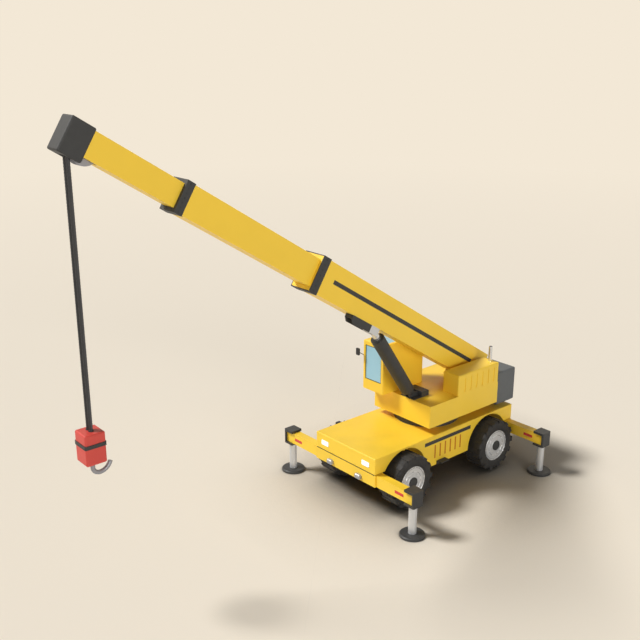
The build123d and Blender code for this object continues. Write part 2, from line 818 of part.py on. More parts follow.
with BuildPart() as warning_lamps:
    with BuildSketch(across(counterweight_rear_x)):
        for left in (1, -1):
            with Locations((left * warning_lamp_y, (warning_lamp_low_z + warning_lamp_high_z) / 2)):
                RectangleRounded(warning_lamp_width, warning_lamp_high_z - warning_lamp_low_z,
                                 warning_lamp_width / 4)
    extrude(amount=-warning_lamp_depth)
warning_lamps.part.label = "warning_lamps"
export_step(warning_lamps.part, "parts/warning_lamps.step")

# ================================================================ engine, its cover and exhaust
with BuildPart() as engine_cover:
    with BuildSketch(plan(platform_high_z)):
        span(platform_rear_x, cover_front_x, cover_inner_y, platform_half_width)
    extrude(amount=cover_high_z - platform_high_z)
    upright = engine_cover.edges().filter_by(Axis.Z)
    fillet(upright + engine_cover.faces().sort_by(Axis.Z)[-1].edges(), cover_edge_radius)
    with BuildSketch(plan(platform_high_z)):
        span(platform_rear_x + cover_wall, cover_front_x - cover_wall,
             cover_inner_y + cover_wall, platform_half_width - cover_wall)
    extrude(amount=cover_high_z - platform_high_z - cover_wall, mode=Mode.SUBTRACT)
    with BuildSketch(side(platform_half_width)):
        louvre_middle_x = louvre_first_x - louvre_pitch * (louvre_count - 1) / 2
        with Locations((louvre_middle_x, (louvre_low_z + louvre_high_z) / 2)):
            with GridLocations(louvre_pitch, 1, louvre_count, 1):
                Rectangle(louvre_width, louvre_high_z - louvre_low_z)
    extrude(amount=louvre_depth, mode=Mode.SUBTRACT)
engine_cover.part.label = "engine_cover"
export_step(engine_cover.part, "parts/engine_cover.step")

engine_length = 1250.0
engine_height = 520.0
with BuildPart() as engine_block:
    with BuildSketch(plan(platform_high_z)):
        engine_front_x = cover_front_x - 3 * cover_wall
        span(engine_front_x - engine_length, engine_front_x,
             cover_inner_y + 2 * cover_wall, platform_half_width - 2 * cover_wall)
    extrude(amount=engine_height)
engine_block.part.label = "engine_block"
export_step(engine_block.part, "parts/engine_block.step")

with BuildPart() as exhaust:
    with BuildSketch(plan(cover_high_z)):
        with Locations((exhaust_x, exhaust_y)):
            Circle(exhaust_radius)
    extrude(amount=exhaust_height)
    with BuildSketch(plan(cover_high_z + exhaust_radius)):
        with Locations((exhaust_x, exhaust_y)):
            Circle(exhaust_radius - exhaust_wall)
    extrude(amount=exhaust_height, mode=Mode.SUBTRACT)
exhaust.part.label = "exhaust"
export_step(exhaust.part, "parts/exhaust.step")

# ================================================================ cab
# A hollow cabin with panes in front, above and behind, and a hinged door in its right side.
cab_floor_z = platform_high_z + cab_wall
pane_left_y = cab_left_y - pane_margin
pane_right_y = cab_right_y + pane_margin
rear_pane_low_z = 3460.0
console_length = 260.0
console_rear_x = cab_front_x - cab_wall - console_length
console_high_z = 3220.0
seat_x = 130.0
seat_y = (cab_left_y + cab_right_y) / 2
seat_base_half = 150.0
seat_base_height = 300.0

with BuildPart() as cab_shell:
    with BuildSketch(plan(platform_high_z)):
        span(cab_rear_x, cab_front_x, cab_right_y, cab_left_y)
    extrude(amount=cab_high_z - platform_high_z)
    upright = cab_shell.edges().filter_by(Axis.Z)
    fillet(upright + cab_shell.faces().sort_by(Axis.Z)[-1].edges(), cab_edge_radius)
    with BuildSketch(plan(cab_floor_z)):
        span(cab_rear_x + cab_wall, cab_front_x - cab_wall,
             cab_right_y + cab_wall, cab_left_y - cab_wall)
    extrude(amount=cab_high_z - cab_wall - cab_floor_z, mode=Mode.SUBTRACT)
    with BuildSketch(across(cab_front_x + 1)):
        span(pane_right_y, pane_left_y, windscreen_low_z, windscreen_high_z)
    extrude(amount=-cab_wall - 2, mode=Mode.SUBTRACT)
    with BuildSketch(across(cab_rear_x - 1)):
        span(pane_right_y, pane_left_y, rear_pane_low_z, windscreen_high_z)
    extrude(amount=cab_wall + 2, mode=Mode.SUBTRACT)
    with BuildSketch(plan(cab_high_z + 1)):
        span(roof_pane_rear_x, roof_pane_front_x, pane_right_y, pane_left_y)
    extrude(amount=-cab_wall - 2, mode=Mode.SUBTRACT)
    with BuildSketch(side(cab_right_y + cab_wall + 1)):
        span(door_rear_x - door_gap, door_front_x + door_gap, door_low_z - door_gap, door_high_z + door_gap)
    extrude(amount=cab_wall + 2, mode=Mode.SUBTRACT)
    with BuildSketch(side(cab_left_y - cab_wall)):
        span(console_rear_x, cab_front_x - cab_wall, cab_floor_z, console_high_z)
    extrude(amount=cab_left_y - cab_right_y - 2 * cab_wall)
    with BuildSketch(plan(cab_floor_z)):
        with Locations((seat_x, seat_y)):
            Rectangle(2 * seat_base_half, 2 * seat_base_half)
    extrude(amount=seat_base_height)
    for hinge_z in (door_low_z + hinge_height * 2, door_high_z - hinge_height * 2):
        for lug_z in (hinge_z - hinge_height / 2 - 1 - hinge_lug, hinge_z + hinge_height / 2 + 1):
            with BuildSketch(plan(lug_z)):
                span(hinge_x - 3 * hinge_barrel_radius, hinge_x, hinge_y - hinge_radius, cab_right_y)
                with Locations((hinge_x, hinge_y)):
                    Circle(hinge_barrel_radius)
            extrude(amount=hinge_lug)
        with BuildSketch(plan(hinge_z - hinge_height / 2 - 1)):
            with Locations((hinge_x, hinge_y)):
                Circle(hinge_radius)
        extrude(amount=hinge_height + 2)
cab_shell.part.label = "cab_shell"
export_step(cab_shell.part, "parts/cab_shell.step")

# Each pane sits inside its opening with a small gap all round.
with BuildPart() as cab_glass:
    with BuildSketch(across(cab_front_x - glass_inset)):
        span(pane_right_y + seat_gap, pane_left_y - seat_gap,
             windscreen_low_z + seat_gap, windscreen_high_z - seat_gap)
    extrude(amount=-glass_thickness)
    with BuildSketch(across(cab_rear_x + glass_inset)):
        span(pane_right_y + seat_gap, pane_left_y - seat_gap,
             rear_pane_low_z + seat_gap, windscreen_high_z - seat_gap)
    extrude(amount=glass_thickness)
    with BuildSketch(plan(cab_high_z - glass_inset)):
        span(roof_pane_rear_x + seat_gap, roof_pane_front_x - seat_gap,
             pane_right_y + seat_gap, pane_left_y - seat_gap)
    extrude(amount=-glass_thickness)
cab_glass.part.label = "cab_glass"
export_step(cab_glass.part, "parts/cab_glass.step")

door_pane_rear_x = door_rear_x + door_frame
door_pane_front_x = door_front_x - door_frame
door_pane_high_z = door_high_z - door_frame
handle_x = door_front_x - door_frame / 2
handle_z = door_pane_low_z - 2 * door_frame
handle_depth = 40.0
handle_bar = 16.0
handle_height = 180.0

with BuildPart() as cab_door:
    with BuildSketch(side(cab_right_y + cab_wall)):
        span(door_rear_x, door_front_x, door_low_z, door_high_z)
    extrude(amount=cab_wall)
    with BuildSketch(side(cab_right_y + cab_wall + 1)):
        span(door_pane_rear_x, door_pane_front_x, door_pane_low_z, door_pane_high_z)
    extrude(amount=cab_wall + 2, mode=Mode.SUBTRACT)
    for hinge_z in (door_low_z + hinge_height * 2, door_high_z - hinge_height * 2):
        with BuildSketch(plan(hinge_z - hinge_height / 2)):
            span(hinge_x, hinge_x + 4 * hinge_barrel_radius, hinge_y - hinge_radius, cab_right_y)
            with Locations((hinge_x, hinge_y)):
                Circle(hinge_barrel_radius)
                Circle(hinge_radius + pin_gap, mode=Mode.SUBTRACT)
        extrude(amount=hinge_height)
    handle_low_y = cab_right_y - handle_depth
    with BuildSketch(side(cab_right_y)):
        for foot_z in (handle_z, handle_z + handle_height - handle_bar):
            span(handle_x - handle_bar / 2, handle_x + handle_bar / 2, foot_z, foot_z + handle_bar)
    extrude(amount=handle_depth)
    with BuildSketch(side(handle_low_y + handle_bar)):
        span(handle_x - handle_bar / 2, handle_x + handle_bar / 2, handle_z, handle_z + handle_height)
    extrude(amount=handle_bar)
cab_door.part.label = "cab_door"
export_step(cab_door.part, "parts/cab_door.step")

with BuildPart() as door_glass:
    with BuildSketch(side(cab_right_y + glass_inset + glass_thickness)):
        span(door_pane_rear_x + seat_gap, door_pane_front_x - seat_gap,
             door_pane_low_z + seat_gap, door_pane_high_z - seat_gap)
    extrude(amount=glass_thickness)
door_glass.part.label = "door_glass"
export_step(door_glass.part, "parts/door_glass.step")

seat_low_z = cab_floor_z + seat_base_height + seat_gap
seat_half_width = 250.0
seat_half_length = 250.0
seat_pad = 120.0
seat_back_height = 720.0

with BuildPart() as operator_seat:
    with BuildSketch(side(seat_y + seat_half_width)):
        span(seat_x - seat_half_length, seat_x + seat_half_length, seat_low_z, seat_low_z + seat_pad)
        span(seat_x - seat_half_length, seat_x - seat_half_length + seat_pad,
             seat_low_z, seat_low_z + seat_back_height)
    extrude(amount=2 * seat_half_width)
operator_seat.part.label = "operator_seat"
export_step(operator_seat.part, "parts/operator_seat.step")

# Rear-view mirror on a bent stay at the cab's front right corner.
mirror_foot = Vector(carrier_x + mirror_foot_x, cab_right_y, mirror_foot_z)
mirror_middle = Vector(carrier_x + mirror_x, mirror_y, mirror_z)
mirror_stay = mirror_middle - mirror_foot

with BuildPart() as mirror:
    with BuildSketch(side(cab_right_y)):
        with Locations((mirror_foot_x, mirror_foot_z)):
            Circle(1.6 * mirror_arm_radius)
    extrude(amount=mirror_arm_radius)
    stay_start = mirror_foot - Vector(0, mirror_arm_radius * 0.9, 0)
    with BuildSketch(Plane(origin=stay_start, z_dir=mirror_middle - stay_start)):
        Circle(mirror_arm_radius * 0.8)
    extrude(amount=(mirror_middle - stay_start).length)
    with BuildSketch(across(mirror_x - mirror_depth / 2)):
        with Locations((mirror_y, mirror_z)):
            RectangleRounded(mirror_width, mirror_height, mirror_depth)
    extrude(amount=mirror_depth)
mirror.part.label = "mirror"
export_step(mirror.part, "parts/mirror.step")

# ================================================================ boom pivot and cylinder foot
pivot_side_gap = 15.0
pivot_plate_inner_y = base_half_width + pivot_side_gap
pivot_plate = 60.0
pivot_plate_radius = 160.0
pivot_foot_half = 390.0
pin_head = 20.0

with BuildPart() as boom_pivot:
    for left in (1, -1):
        with BuildSketch(side(left * (pivot_plate_inner_y + pivot_plate))):
            with BuildLine():
                Polyline(
                    (pivot_x - pivot_foot_half, platform_high_z),
                    (pivot_x + pivot_foot_half, platform_high_z),
                    (pivot_x + pivot_plate_radius, pivot_z),
                    (pivot_x - pivot_plate_radius, pivot_z),
                    close=True,
                )
            make_face()
            with Locations((pivot_x, pivot_z)):
                Circle(pivot_plate_radius)
        extrude(amount=left * pivot_plate)
    with BuildSketch(side(pivot_plate_inner_y + pivot_plate + pin_head)):
        with Locations((pivot_x, pivot_z)):
            Circle(pivot_radius)
    extrude(amount=2 * (pivot_plate_inner_y + pivot_plate + pin_head))
boom_pivot.part.label = "boom_pivot"
export_step(boom_pivot.part, "parts/boom_pivot.step")

ear_inner = eye_half_width + 1
ear_outer = ear_inner + ear_thickness

with BuildPart() as cylinder_base:
    with BuildSketch(plan(platform_high_z)):
        span(foot_rear_x, foot_front_x, cylinder_y - foot_half_width, cylinder_y + foot_half_width)
    extrude(amount=foot_plate)
    with BuildSketch(side(cylinder_y + foot_half_width)):
        with BuildLine():
            Polyline(
                (foot_rear_x, platform_high_z),
                (foot_block_front_x, platform_high_z),
                (foot_block_front_x, platform_high_z + foot_block_height),
                (foot_rear_x + foot_plate, platform_high_z + foot_block_height),
                (foot_rear_x, platform_high_z + foot_block_height - foot_plate),
                close=True,
            )
        make_face()
    extrude(amount=2 * foot_half_width)
    for high_y in (cylinder_y - ear_inner, cylinder_y + ear_outer):
        with BuildSketch(side(high_y)):
            with Locations((cylinder_foot_x, cylinder_foot_z)):
                Circle(ear_radius)
            span(foot_block_front_x, cylinder_foot_x, platform_high_z, cylinder_foot_z + ear_radius / 3)
            span(cylinder_foot_x, foot_front_x, platform_high_z, cylinder_foot_z)
        extrude(amount=ear_thickness)
    with BuildSketch(side(cylinder_y + ear_outer + pin_head)):
        with Locations((cylinder_foot_x, cylinder_foot_z)):
            Circle(cylinder_pin_radius)
    extrude(amount=2 * (ear_outer + pin_head))
cylinder_base.part.label = "cylinder_base"
export_step(cylinder_base.part, "parts/cylinder_base.step")

# ================================================================ luffing cylinder
with BuildPart() as cylinder_barrel:
    with BuildSketch(cylinder_section(0)):
        Rectangle(2 * eye_half_width, 2 * eye_radius)
    extrude(amount=barrel_start + 1)
    with BuildSketch(side(cylinder_y + eye_half_width)):
        with Locations((cylinder_foot_x, cylinder_foot_z)):
            Circle(eye_radius)
    extrude(amount=2 * eye_half_width)
    with BuildSketch(cylinder_section(barrel_start)):
        Circle(barrel_radius)
    extrude(amount=barrel_end - barrel_start)
    with BuildSketch(cylinder_section(barrel_start + barrel_floor)):
        Circle(rod_radius + pin_gap)
    extrude(amount=barrel_end - barrel_start, mode=Mode.SUBTRACT)
    with BuildSketch(side(cylinder_y + eye_half_width)):
        with Locations((cylinder_foot_x, cylinder_foot_z)):
            Circle(cylinder_pin_radius + pin_gap)
    extrude(amount=2 * eye_half_width, mode=Mode.SUBTRACT)
cylinder_barrel.part.label = "cylinder_barrel"
export_step(cylinder_barrel.part, "parts/cylinder_barrel.step")

with BuildPart() as cylinder_rod:
    with BuildSketch(cylinder_section(rod_start)):
        Circle(rod_radius)
    extrude(amount=cylinder_length - rod_eye_radius - rod_start)
    with BuildSketch(cylinder_section(cylinder_length - rod_eye_radius - 1)):
        Rectangle(2 * eye_half_width, 1.6 * rod_eye_radius)
    extrude(amount=rod_eye_radius + 1)
    with BuildSketch(side(cylinder_y + eye_half_width)):
        with Locations((eye_x, eye_z)):
            Circle(rod_eye_radius)
    extrude(amount=2 * eye_half_width)
    with BuildSketch(side(cylinder_y + eye_half_width)):
        with Locations((eye_x, eye_z)):
            Circle(cylinder_pin_radius + pin_gap)
    extrude(amount=2 * eye_half_width, mode=Mode.SUBTRACT)
cylinder_rod.part.label = "cylinder_rod"
export_step(cylinder_rod.part, "parts/cylinder_rod.step")

# ================================================================ boom base
base_inner_half_width = base_half_width - base_wall
base_inner_height = base_height - 2 * base_wall


base_outline = (
    # along the boom, above its top line: the heel is cut away below
    (base_rear_s, 0),
    (base_rear_s, heel_corner_n),
    (heel_corner_s, -base_height),
    (base_front_s, -base_height),
    (base_front_s, 0),
)


def boom_window(half_width, height, mode=Mode.ADD):
    """Rectangle about the boom's middle line, on a plane square to the boom."""
    with Locations((0, boom_mid_n)):
        Rectangle(2 * half_width, height, mode=mode)


with BuildPart() as boom_base:
    with BuildSketch(boom_side(base_half_width)):
        with BuildLine():
            Polyline(*base_outline, close=True)
        make_face()
    extrude(amount=2 * base_half_width)
    with BuildSketch(boom_side(base_inner_half_width)):
        with BuildLine():
            Polyline(*base_outline, close=True)
        make_face()
        offset(amount=-base_wall, kind=Kind.INTERSECTION, mode=Mode.REPLACE)
    extrude(amount=2 * base_inner_half_width, mode=Mode.SUBTRACT)
    with BuildSketch(boom_section(base_front_s - base_front_plate)):
        boom_window(base_half_width, base_height)
    extrude(amount=base_front_plate)
    with BuildSketch(boom_section(base_front_s - base_front_plate - 1)):
        boom_window(mid_half_width + slide_gap, mid_height + 2 * slide_gap)
    extrude(amount=base_front_plate + 2, mode=Mode.SUBTRACT)
    with BuildSketch(boom_side(base_half_width)):
        with Locations((pivot_s, pivot_n)):
            Circle(pivot_sleeve_radius)
    extrude(amount=2 * base_half_width)
    with BuildSketch(boom_side(base_half_width + 1)):
        with Locations((pivot_s, pivot_n)):
            Circle(pivot_radius + pin_gap)
    extrude(amount=2 * base_half_width + 2, mode=Mode.SUBTRACT)
boom_base.part.label = "boom_base"
export_step(boom_base.part, "parts/boom_base.step")

with BuildPart() as base_collar:
    with BuildSketch(boom_section(base_front_s - base_collar_length)):
        boom_window(base_half_width + base_collar_rim, base_height + 2 * base_collar_rim)
        boom_window(base_half_width, base_height, Mode.SUBTRACT)
    extrude(amount=base_collar_length)
base_collar.part.label = "base_collar"
export_step(base_collar.part, "parts/base_collar.step")

cheek_inner = rod_radius + upper_gap
with BuildPart() as rod_bracket:
    for high_y in (cylinder_y - cheek_inner, cylinder_y + cheek_inner + bracket_cheek):
        with BuildSketch(boom_side(high_y)):
            with BuildLine():
                Polyline(
                    (bracket_rear_s, -base_height),
                    (bracket_rear_s, -base_height - bracket_height),
                    (bracket_front_s - bracket_height / 2, -base_height - bracket_height),
                    (bracket_front_s, -base_height - bracket_height / 2),
                    (bracket_front_s, -base_height),
                    close=True,
                )
            make_face()
        extrude(amount=bracket_cheek)
    with BuildSketch(boom_side(cylinder_y + cheek_inner)):
        span(bracket_front_s - bracket_front_plate, bracket_front_s,
             -base_height - bracket_height / 2, -base_height)
    extrude(amount=2 * cheek_inner)
rod_bracket.part.label = "rod_bracket"
export_step(rod_bracket.part, "parts/rod_bracket.step")

# ================================================================ telescoping sections
mid_inner_half_width = mid_half_width - mid_wall
mid_inner_height = mid_height - 2 * mid_wall

with BuildPart() as boom_mid:
    with BuildSketch(boom_section(mid_rear_s)):
        boom_window(mid_half_width, mid_height)
    extrude(amount=mid_front_s - mid_collar_plate - mid_rear_s)
    with BuildSketch(boom_section(mid_rear_s)):
        boom_window(base_inner_half_width - slide_gap, base_inner_height - 2 * slide_gap)
    extrude(amount=mid_foot)
    with BuildSketch(boom_section(mid_rear_s - 1)):
        boom_window(mid_inner_half_width, mid_inner_height)
    extrude(amount=mid_front_s - mid_rear_s, mode=Mode.SUBTRACT)
boom_mid.part.label = "boom_mid"
export_step(boom_mid.part, "parts/boom_mid.step")

with BuildPart() as mid_collar:
    with BuildSketch(boom_section(mid_front_s - mid_collar_length)):
        boom_window(mid_half_width + mid_collar_rim, mid_height + 2 * mid_collar_rim)
        boom_window(mid_half_width, mid_height, Mode.SUBTRACT)
    extrude(amount=mid_collar_length)
    with BuildSketch(boom_section(mid_front_s - mid_collar_plate)):
        boom_window(mid_half_width, mid_height)
        boom_window(tip_half_width + slide_gap, tip_height + 2 * slide_gap, Mode.SUBTRACT)
    extrude(amount=mid_collar_plate)
mid_collar.part.label = "mid_collar"
export_step(mid_collar.part, "parts/mid_collar.step")

tip_inner_half_width = tip_half_width - tip_wall
tip_inner_height = tip_height - 2 * tip_wall
slot_rear_s = sheave_s - sheave_radius - sheave_slot_margin
slot_front_s = sheave_s + sheave_radius + sheave_slot_margin

with BuildPart() as boom_tip:
    with BuildSketch(boom_section(tip_rear_s)):
        boom_window(tip_half_width, tip_height)
    extrude(amount=tip_front_s - tip_rear_s)
    with BuildSketch(boom_section(tip_rear_s)):
        boom_window(mid_inner_half_width - slide_gap, mid_inner_height - 2 * slide_gap)
    extrude(amount=tip_foot)
    with BuildSketch(boom_section(tip_rear_s - 1)):
        boom_window(tip_inner_half_width, tip_inner_height)
    extrude(amount=tip_front_s - tip_rear_s + 2, mode=Mode.SUBTRACT)
    with BuildSketch(boom_side(sheave_slot_half_width)):
        span(slot_rear_s, tip_front_s + 1, tip_bottom_n - 1, tip_bottom_n + tip_wall + 1)
    extrude(amount=2 * sheave_slot_half_width, mode=Mode.SUBTRACT)
    with BuildSketch(boom_side(tip_half_width)):
        with Locations((sheave_s, sheave_n)):
            Circle(sheave_pin_radius)
    extrude(amount=2 * tip_half_width)
boom_tip.part.label = "boom_tip"
export_step(boom_tip.part, "parts/boom_tip.step")

# The head is a box over the tip's end, slotted below for the sheaves and the hoist line.
with BuildPart() as boom_head:
    with BuildSketch(boom_side(head_half_width)):
        span(head_rear_s, head_front_s, head_bottom_n, head_top_n)
    extrude(amount=2 * head_half_width)
    fillet(boom_head.edges(), head_edge_radius)
    with BuildSketch(boom_side(head_half_width - head_wall)):
        span(head_rear_s + head_wall, head_front_s - head_wall,
             head_bottom_n + head_wall, head_top_n - head_wall)
    extrude(amount=2 * (head_half_width - head_wall), mode=Mode.SUBTRACT)
    with BuildSketch(boom_section(head_rear_s - 1)):
        boom_window(tip_half_width, tip_height)
    extrude(amount=head_wall + 2, mode=Mode.SUBTRACT)
    with BuildSketch(boom_side(sheave_slot_half_width)):
        span(head_rear_s - 1, slot_front_s, head_bottom_n - 1, head_bottom_n + head_wall + 1)
        span(head_rear_s - 1, head_rear_s + head_wall + 1, head_bottom_n - 1, boom_mid_n)
    extrude(amount=2 * sheave_slot_half_width, mode=Mode.SUBTRACT)
boom_head.part.label = "boom_head"
export_step(boom_head.part, "parts/boom_head.step")

# Two grooved sheaves on one hub.
sheave_line = Axis((carrier_x + sheave_x, 0, sheave_z), (0, 1, 0))
groove_half_width = rope_radius + 1
bore = sheave_pin_radius + pin_gap

with BuildPart() as head_sheaves:
    with BuildSketch(Plane(origin=sheave_line.position, x_dir=(0, 1, 0), z_dir=(1, 0, 0))):
        with BuildLine():
            one_side = (
                # from the middle plane, radius
                (sheave_y - sheave_half_width, sheave_hub_radius),
                (sheave_y - sheave_half_width, sheave_radius),
                (sheave_y - sheave_half_width + sheave_flange, sheave_radius),
                (sheave_y - groove_half_width, sheave_groove_radius),
                (sheave_y + groove_half_width, sheave_groove_radius),
                (sheave_y + sheave_half_width - sheave_flange, sheave_radius),
                (sheave_y + sheave_half_width, sheave_radius),
                (sheave_y + sheave_half_width, bore),
            )
            Polyline(*one_side, *((-y, r) for y, r in reversed(one_side)), close=True)
        make_face()
    revolve(axis=sheave_line)
head_sheaves.part.label = "head_sheaves"
export_step(head_sheaves.part, "parts/head_sheaves.step")

# ================================================================ hoist line, block and hook
with BuildPart() as hoist_rope:
    with BuildSketch(plan(block_high_z)):
        with Locations((rope_x, sheave_y), (rope_x, -sheave_y)):
            Circle(rope_radius)
    extrude(amount=sheave_z - block_high_z)
hoist_rope.part.label = "hoist_rope"
export_step(hoist_rope.part, "parts/hoist_rope.step")

with BuildPart() as hook_block:
    with BuildSketch(plan(block_low_z)):
        with Locations((rope_x, 0)):
            Rectangle(2 * block_half_length, 2 * block_half_width)
    extrude(amount=block_high_z - block_low_z)
    fillet(hook_block.edges(), block_edge_radius)
    with BuildSketch(plan(block_band_low_z)):
        with Locations((rope_x, 0)):
            RectangleRounded(2 * (block_half_length + block_band_rim),
                             2 * (block_half_width + block_band_rim), block_edge_radius)
    extrude(amount=block_band_high_z - block_band_low_z)
    with BuildSketch(plan(block_low_z - 1)):
        with Locations((rope_x, 0)):
            Circle(hook_shank_radius + pin_gap)
    extrude(amount=hook_shank_seat + 1, mode=Mode.SUBTRACT)
hook_block.part.label = "hook_block"
export_step(hook_block.part, "parts/hook_block.step")

with BuildPart() as hook:
    with BuildLine(side(0)):
        shank = Line((rope_x, block_low_z - 1), (rope_x, hook_bend_z))
        bend = JernArc(start=shank @ 1, tangent=(0, -1), radius=hook_bend_radius, arc_size=-90)
        lip = JernArc(start=bend @ 1, tangent=(-1, 0), radius=hook_lip_radius, arc_size=-hook_lip_angle)
    with BuildSketch(plan(block_low_z - 1)):
        with Locations((rope_x, 0)):
            Circle(hook_radius)
    sweep()
    with BuildSketch(plan(block_low_z - 1)):
        with Locations((rope_x, 0)):
            Circle(hook_shank_radius)
    extrude(amount=hook_shank_seat + 1 - seat_gap)
hook.part.label = "hook"
export_step(hook.part, "parts/hook.step")
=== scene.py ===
import json
from math import atan2, cos, pi, radians, sin

import bmesh
import bpy
from mathutils import Matrix, Vector

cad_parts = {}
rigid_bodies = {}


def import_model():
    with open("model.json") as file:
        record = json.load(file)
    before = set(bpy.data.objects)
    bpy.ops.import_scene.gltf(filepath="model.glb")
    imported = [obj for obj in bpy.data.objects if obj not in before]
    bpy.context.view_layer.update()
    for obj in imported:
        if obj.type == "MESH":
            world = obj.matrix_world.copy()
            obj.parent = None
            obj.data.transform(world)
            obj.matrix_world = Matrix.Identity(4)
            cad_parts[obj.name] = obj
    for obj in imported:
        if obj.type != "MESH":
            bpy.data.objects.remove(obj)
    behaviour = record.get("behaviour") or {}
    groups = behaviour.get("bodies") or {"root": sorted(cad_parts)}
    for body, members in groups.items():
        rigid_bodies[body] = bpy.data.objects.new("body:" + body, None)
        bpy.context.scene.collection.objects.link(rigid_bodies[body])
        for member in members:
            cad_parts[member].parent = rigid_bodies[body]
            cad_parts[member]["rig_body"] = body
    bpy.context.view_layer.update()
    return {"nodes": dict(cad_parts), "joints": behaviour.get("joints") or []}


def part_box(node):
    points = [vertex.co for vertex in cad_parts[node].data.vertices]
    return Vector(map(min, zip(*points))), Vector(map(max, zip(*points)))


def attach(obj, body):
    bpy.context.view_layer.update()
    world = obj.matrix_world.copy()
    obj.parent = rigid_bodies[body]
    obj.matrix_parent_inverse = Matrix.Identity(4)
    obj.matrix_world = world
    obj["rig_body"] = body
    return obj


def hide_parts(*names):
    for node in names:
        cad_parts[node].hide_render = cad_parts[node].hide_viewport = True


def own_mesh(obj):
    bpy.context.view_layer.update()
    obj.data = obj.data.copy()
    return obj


# Finish, trim, light and camera for the mobile crane. Metres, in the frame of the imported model:
# +X forward, +Y to the crane's left, +Z up, with the ground at Z = 0.

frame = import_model()
nodes = frame["nodes"]
joints = {joint["name"]: joint for joint in frame["joints"]}

corner_names = ("front_left", "front_right", "rear_left", "rear_right")
sides = (1, -1)     # left, right

# ---------------------------------------------------------------- places read from the frame
boom_dir = Vector(joints["boom_middle_slide"]["axis"]).normalized()
boom_up = Vector((-boom_dir.z, 0, boom_dir.x))
boom_turn = Matrix.Rotation(-atan2(boom_dir.z, boom_dir.x), 4, "Y")


def centre_of(node):
    """The middle of a CAD node's box."""
    low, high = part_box(node)
    return (low + high) / 2


def along_boom(point):
    """Distances of a point along and above the boom's direction, from the frame's origin."""
    return point.dot(boom_dir), point.dot(boom_up)


def boom_extent(node):
    """Lowest and highest distance of a node along the boom and square to it."""
    spans = [along_boom(vertex.co) for vertex in nodes[node].data.vertices]
    s = [span[0] for span in spans]
    n = [span[1] for span in spans]
    return min(s), max(s), min(n), max(n)


# ---------------------------------------------------------------- materials
def linear(red, green, blue):
    """A screen colour from 0 to 255 as the linear colour that the shader takes."""
    def channel(value):
        value = value / 255
        return value / 12.92 if value <= 0.04045 else ((value + 0.055) / 1.055) ** 2.4
    return (channel(red), channel(green), channel(blue), 1)


def new_material(name):
    """A node material with only its shader, linked to its output."""
    material = bpy.data.materials.new(name)
    material.use_nodes = True
    tree = material.node_tree
    tree.nodes.clear()
    output = tree.nodes.new("ShaderNodeOutputMaterial")
    shader = tree.nodes.new("ShaderNodeBsdfPrincipled")
    tree.links.new(shader.outputs[0], output.inputs[0])
    return material, tree, shader


def add(tree, kind, links=(), **values):
    """A node with its values set, and each input in links set to a value or linked to a socket."""
    node = tree.nodes.new(kind)
    for key, value in values.items():
        setattr(node, key, value)
    for socket, source in links:
        if isinstance(source, (int, float, tuple)):
            node.inputs[socket].default_value = source
        else:
            tree.links.new(source, node.inputs[socket])
    return node


def object_place(tree):
    """The shaded point in the object's own coordinates."""
    return add(tree, "ShaderNodeTexCoord").outputs["Object"]


def noise(tree, scale, detail=3.0, roughness=0.5):
    """Cloudy noise, from 0 to 1."""
    place = object_place(tree)
    links = (("Vector", place), ("Scale", scale), ("Detail", detail), ("Roughness", roughness))
    return add(tree, "ShaderNodeTexNoise", links).outputs["Fac"]


def ranged(tree, value, low, high, from_low=0.3, from_high=0.7):
    """A value moved from one range to another, and held within it."""
    links = (("Value", value), ("From Min", from_low), ("From Max", from_high),
             ("To Min", low), ("To Max", high))
    return add(tree, "ShaderNodeMapRange", links).outputs["Result"]


def mixed(tree, factor, first, second):
    """Colour between two, by a factor."""
    node = add(tree, "ShaderNodeMix", data_type="RGBA")
    for socket, source in ((0, factor), (6, first), (7, second)):
        if isinstance(source, (int, float, tuple)):
            node.inputs[socket].default_value = source
        else:
            tree.links.new(source, node.inputs[socket])
    return node.outputs[2]


def bumped(tree, shader, height, distance, strength):
    """Fine relief from a height."""
    links = (("Height", height), ("Distance", distance), ("Strength", strength))
    tree.links.new(add(tree, "ShaderNodeBump", links).outputs[0], shader.inputs["Normal"])


def math(tree, operation, first, second):
    """The result of a sum on one or two values."""
    return add(tree, "ShaderNodeMath", ((0, first), (1, second)), operation=operation).outputs[0]


def shade(colour, factor):
    """A colour made darker or lighter."""
    return tuple(channel * factor for channel in colour[:3]) + (1,)


def paint(name, colour, roughness=0.42, peel=0.0006, drift=0.022, coat=0.12):
    """Sprayed enamel: a little drift of tone, uneven gloss, and orange peel."""
    material, tree, shader = new_material(name)
    tone = mixed(tree, ranged(tree, noise(tree, 0.9), 0, 1),
                 shade(colour, 1 - drift), shade(colour, 1 + drift))
    tree.links.new(tone, shader.inputs["Base Color"])
    gloss = ranged(tree, noise(tree, 5, 6, 0.65), roughness - 0.06, roughness + 0.08)
    tree.links.new(gloss, shader.inputs["Roughness"])
    shader.inputs["Coat Weight"].default_value = coat
    shader.inputs["Coat Roughness"].default_value = 0.25
    bumped(tree, shader, noise(tree, 90, 2), peel, 0.25)
    return material


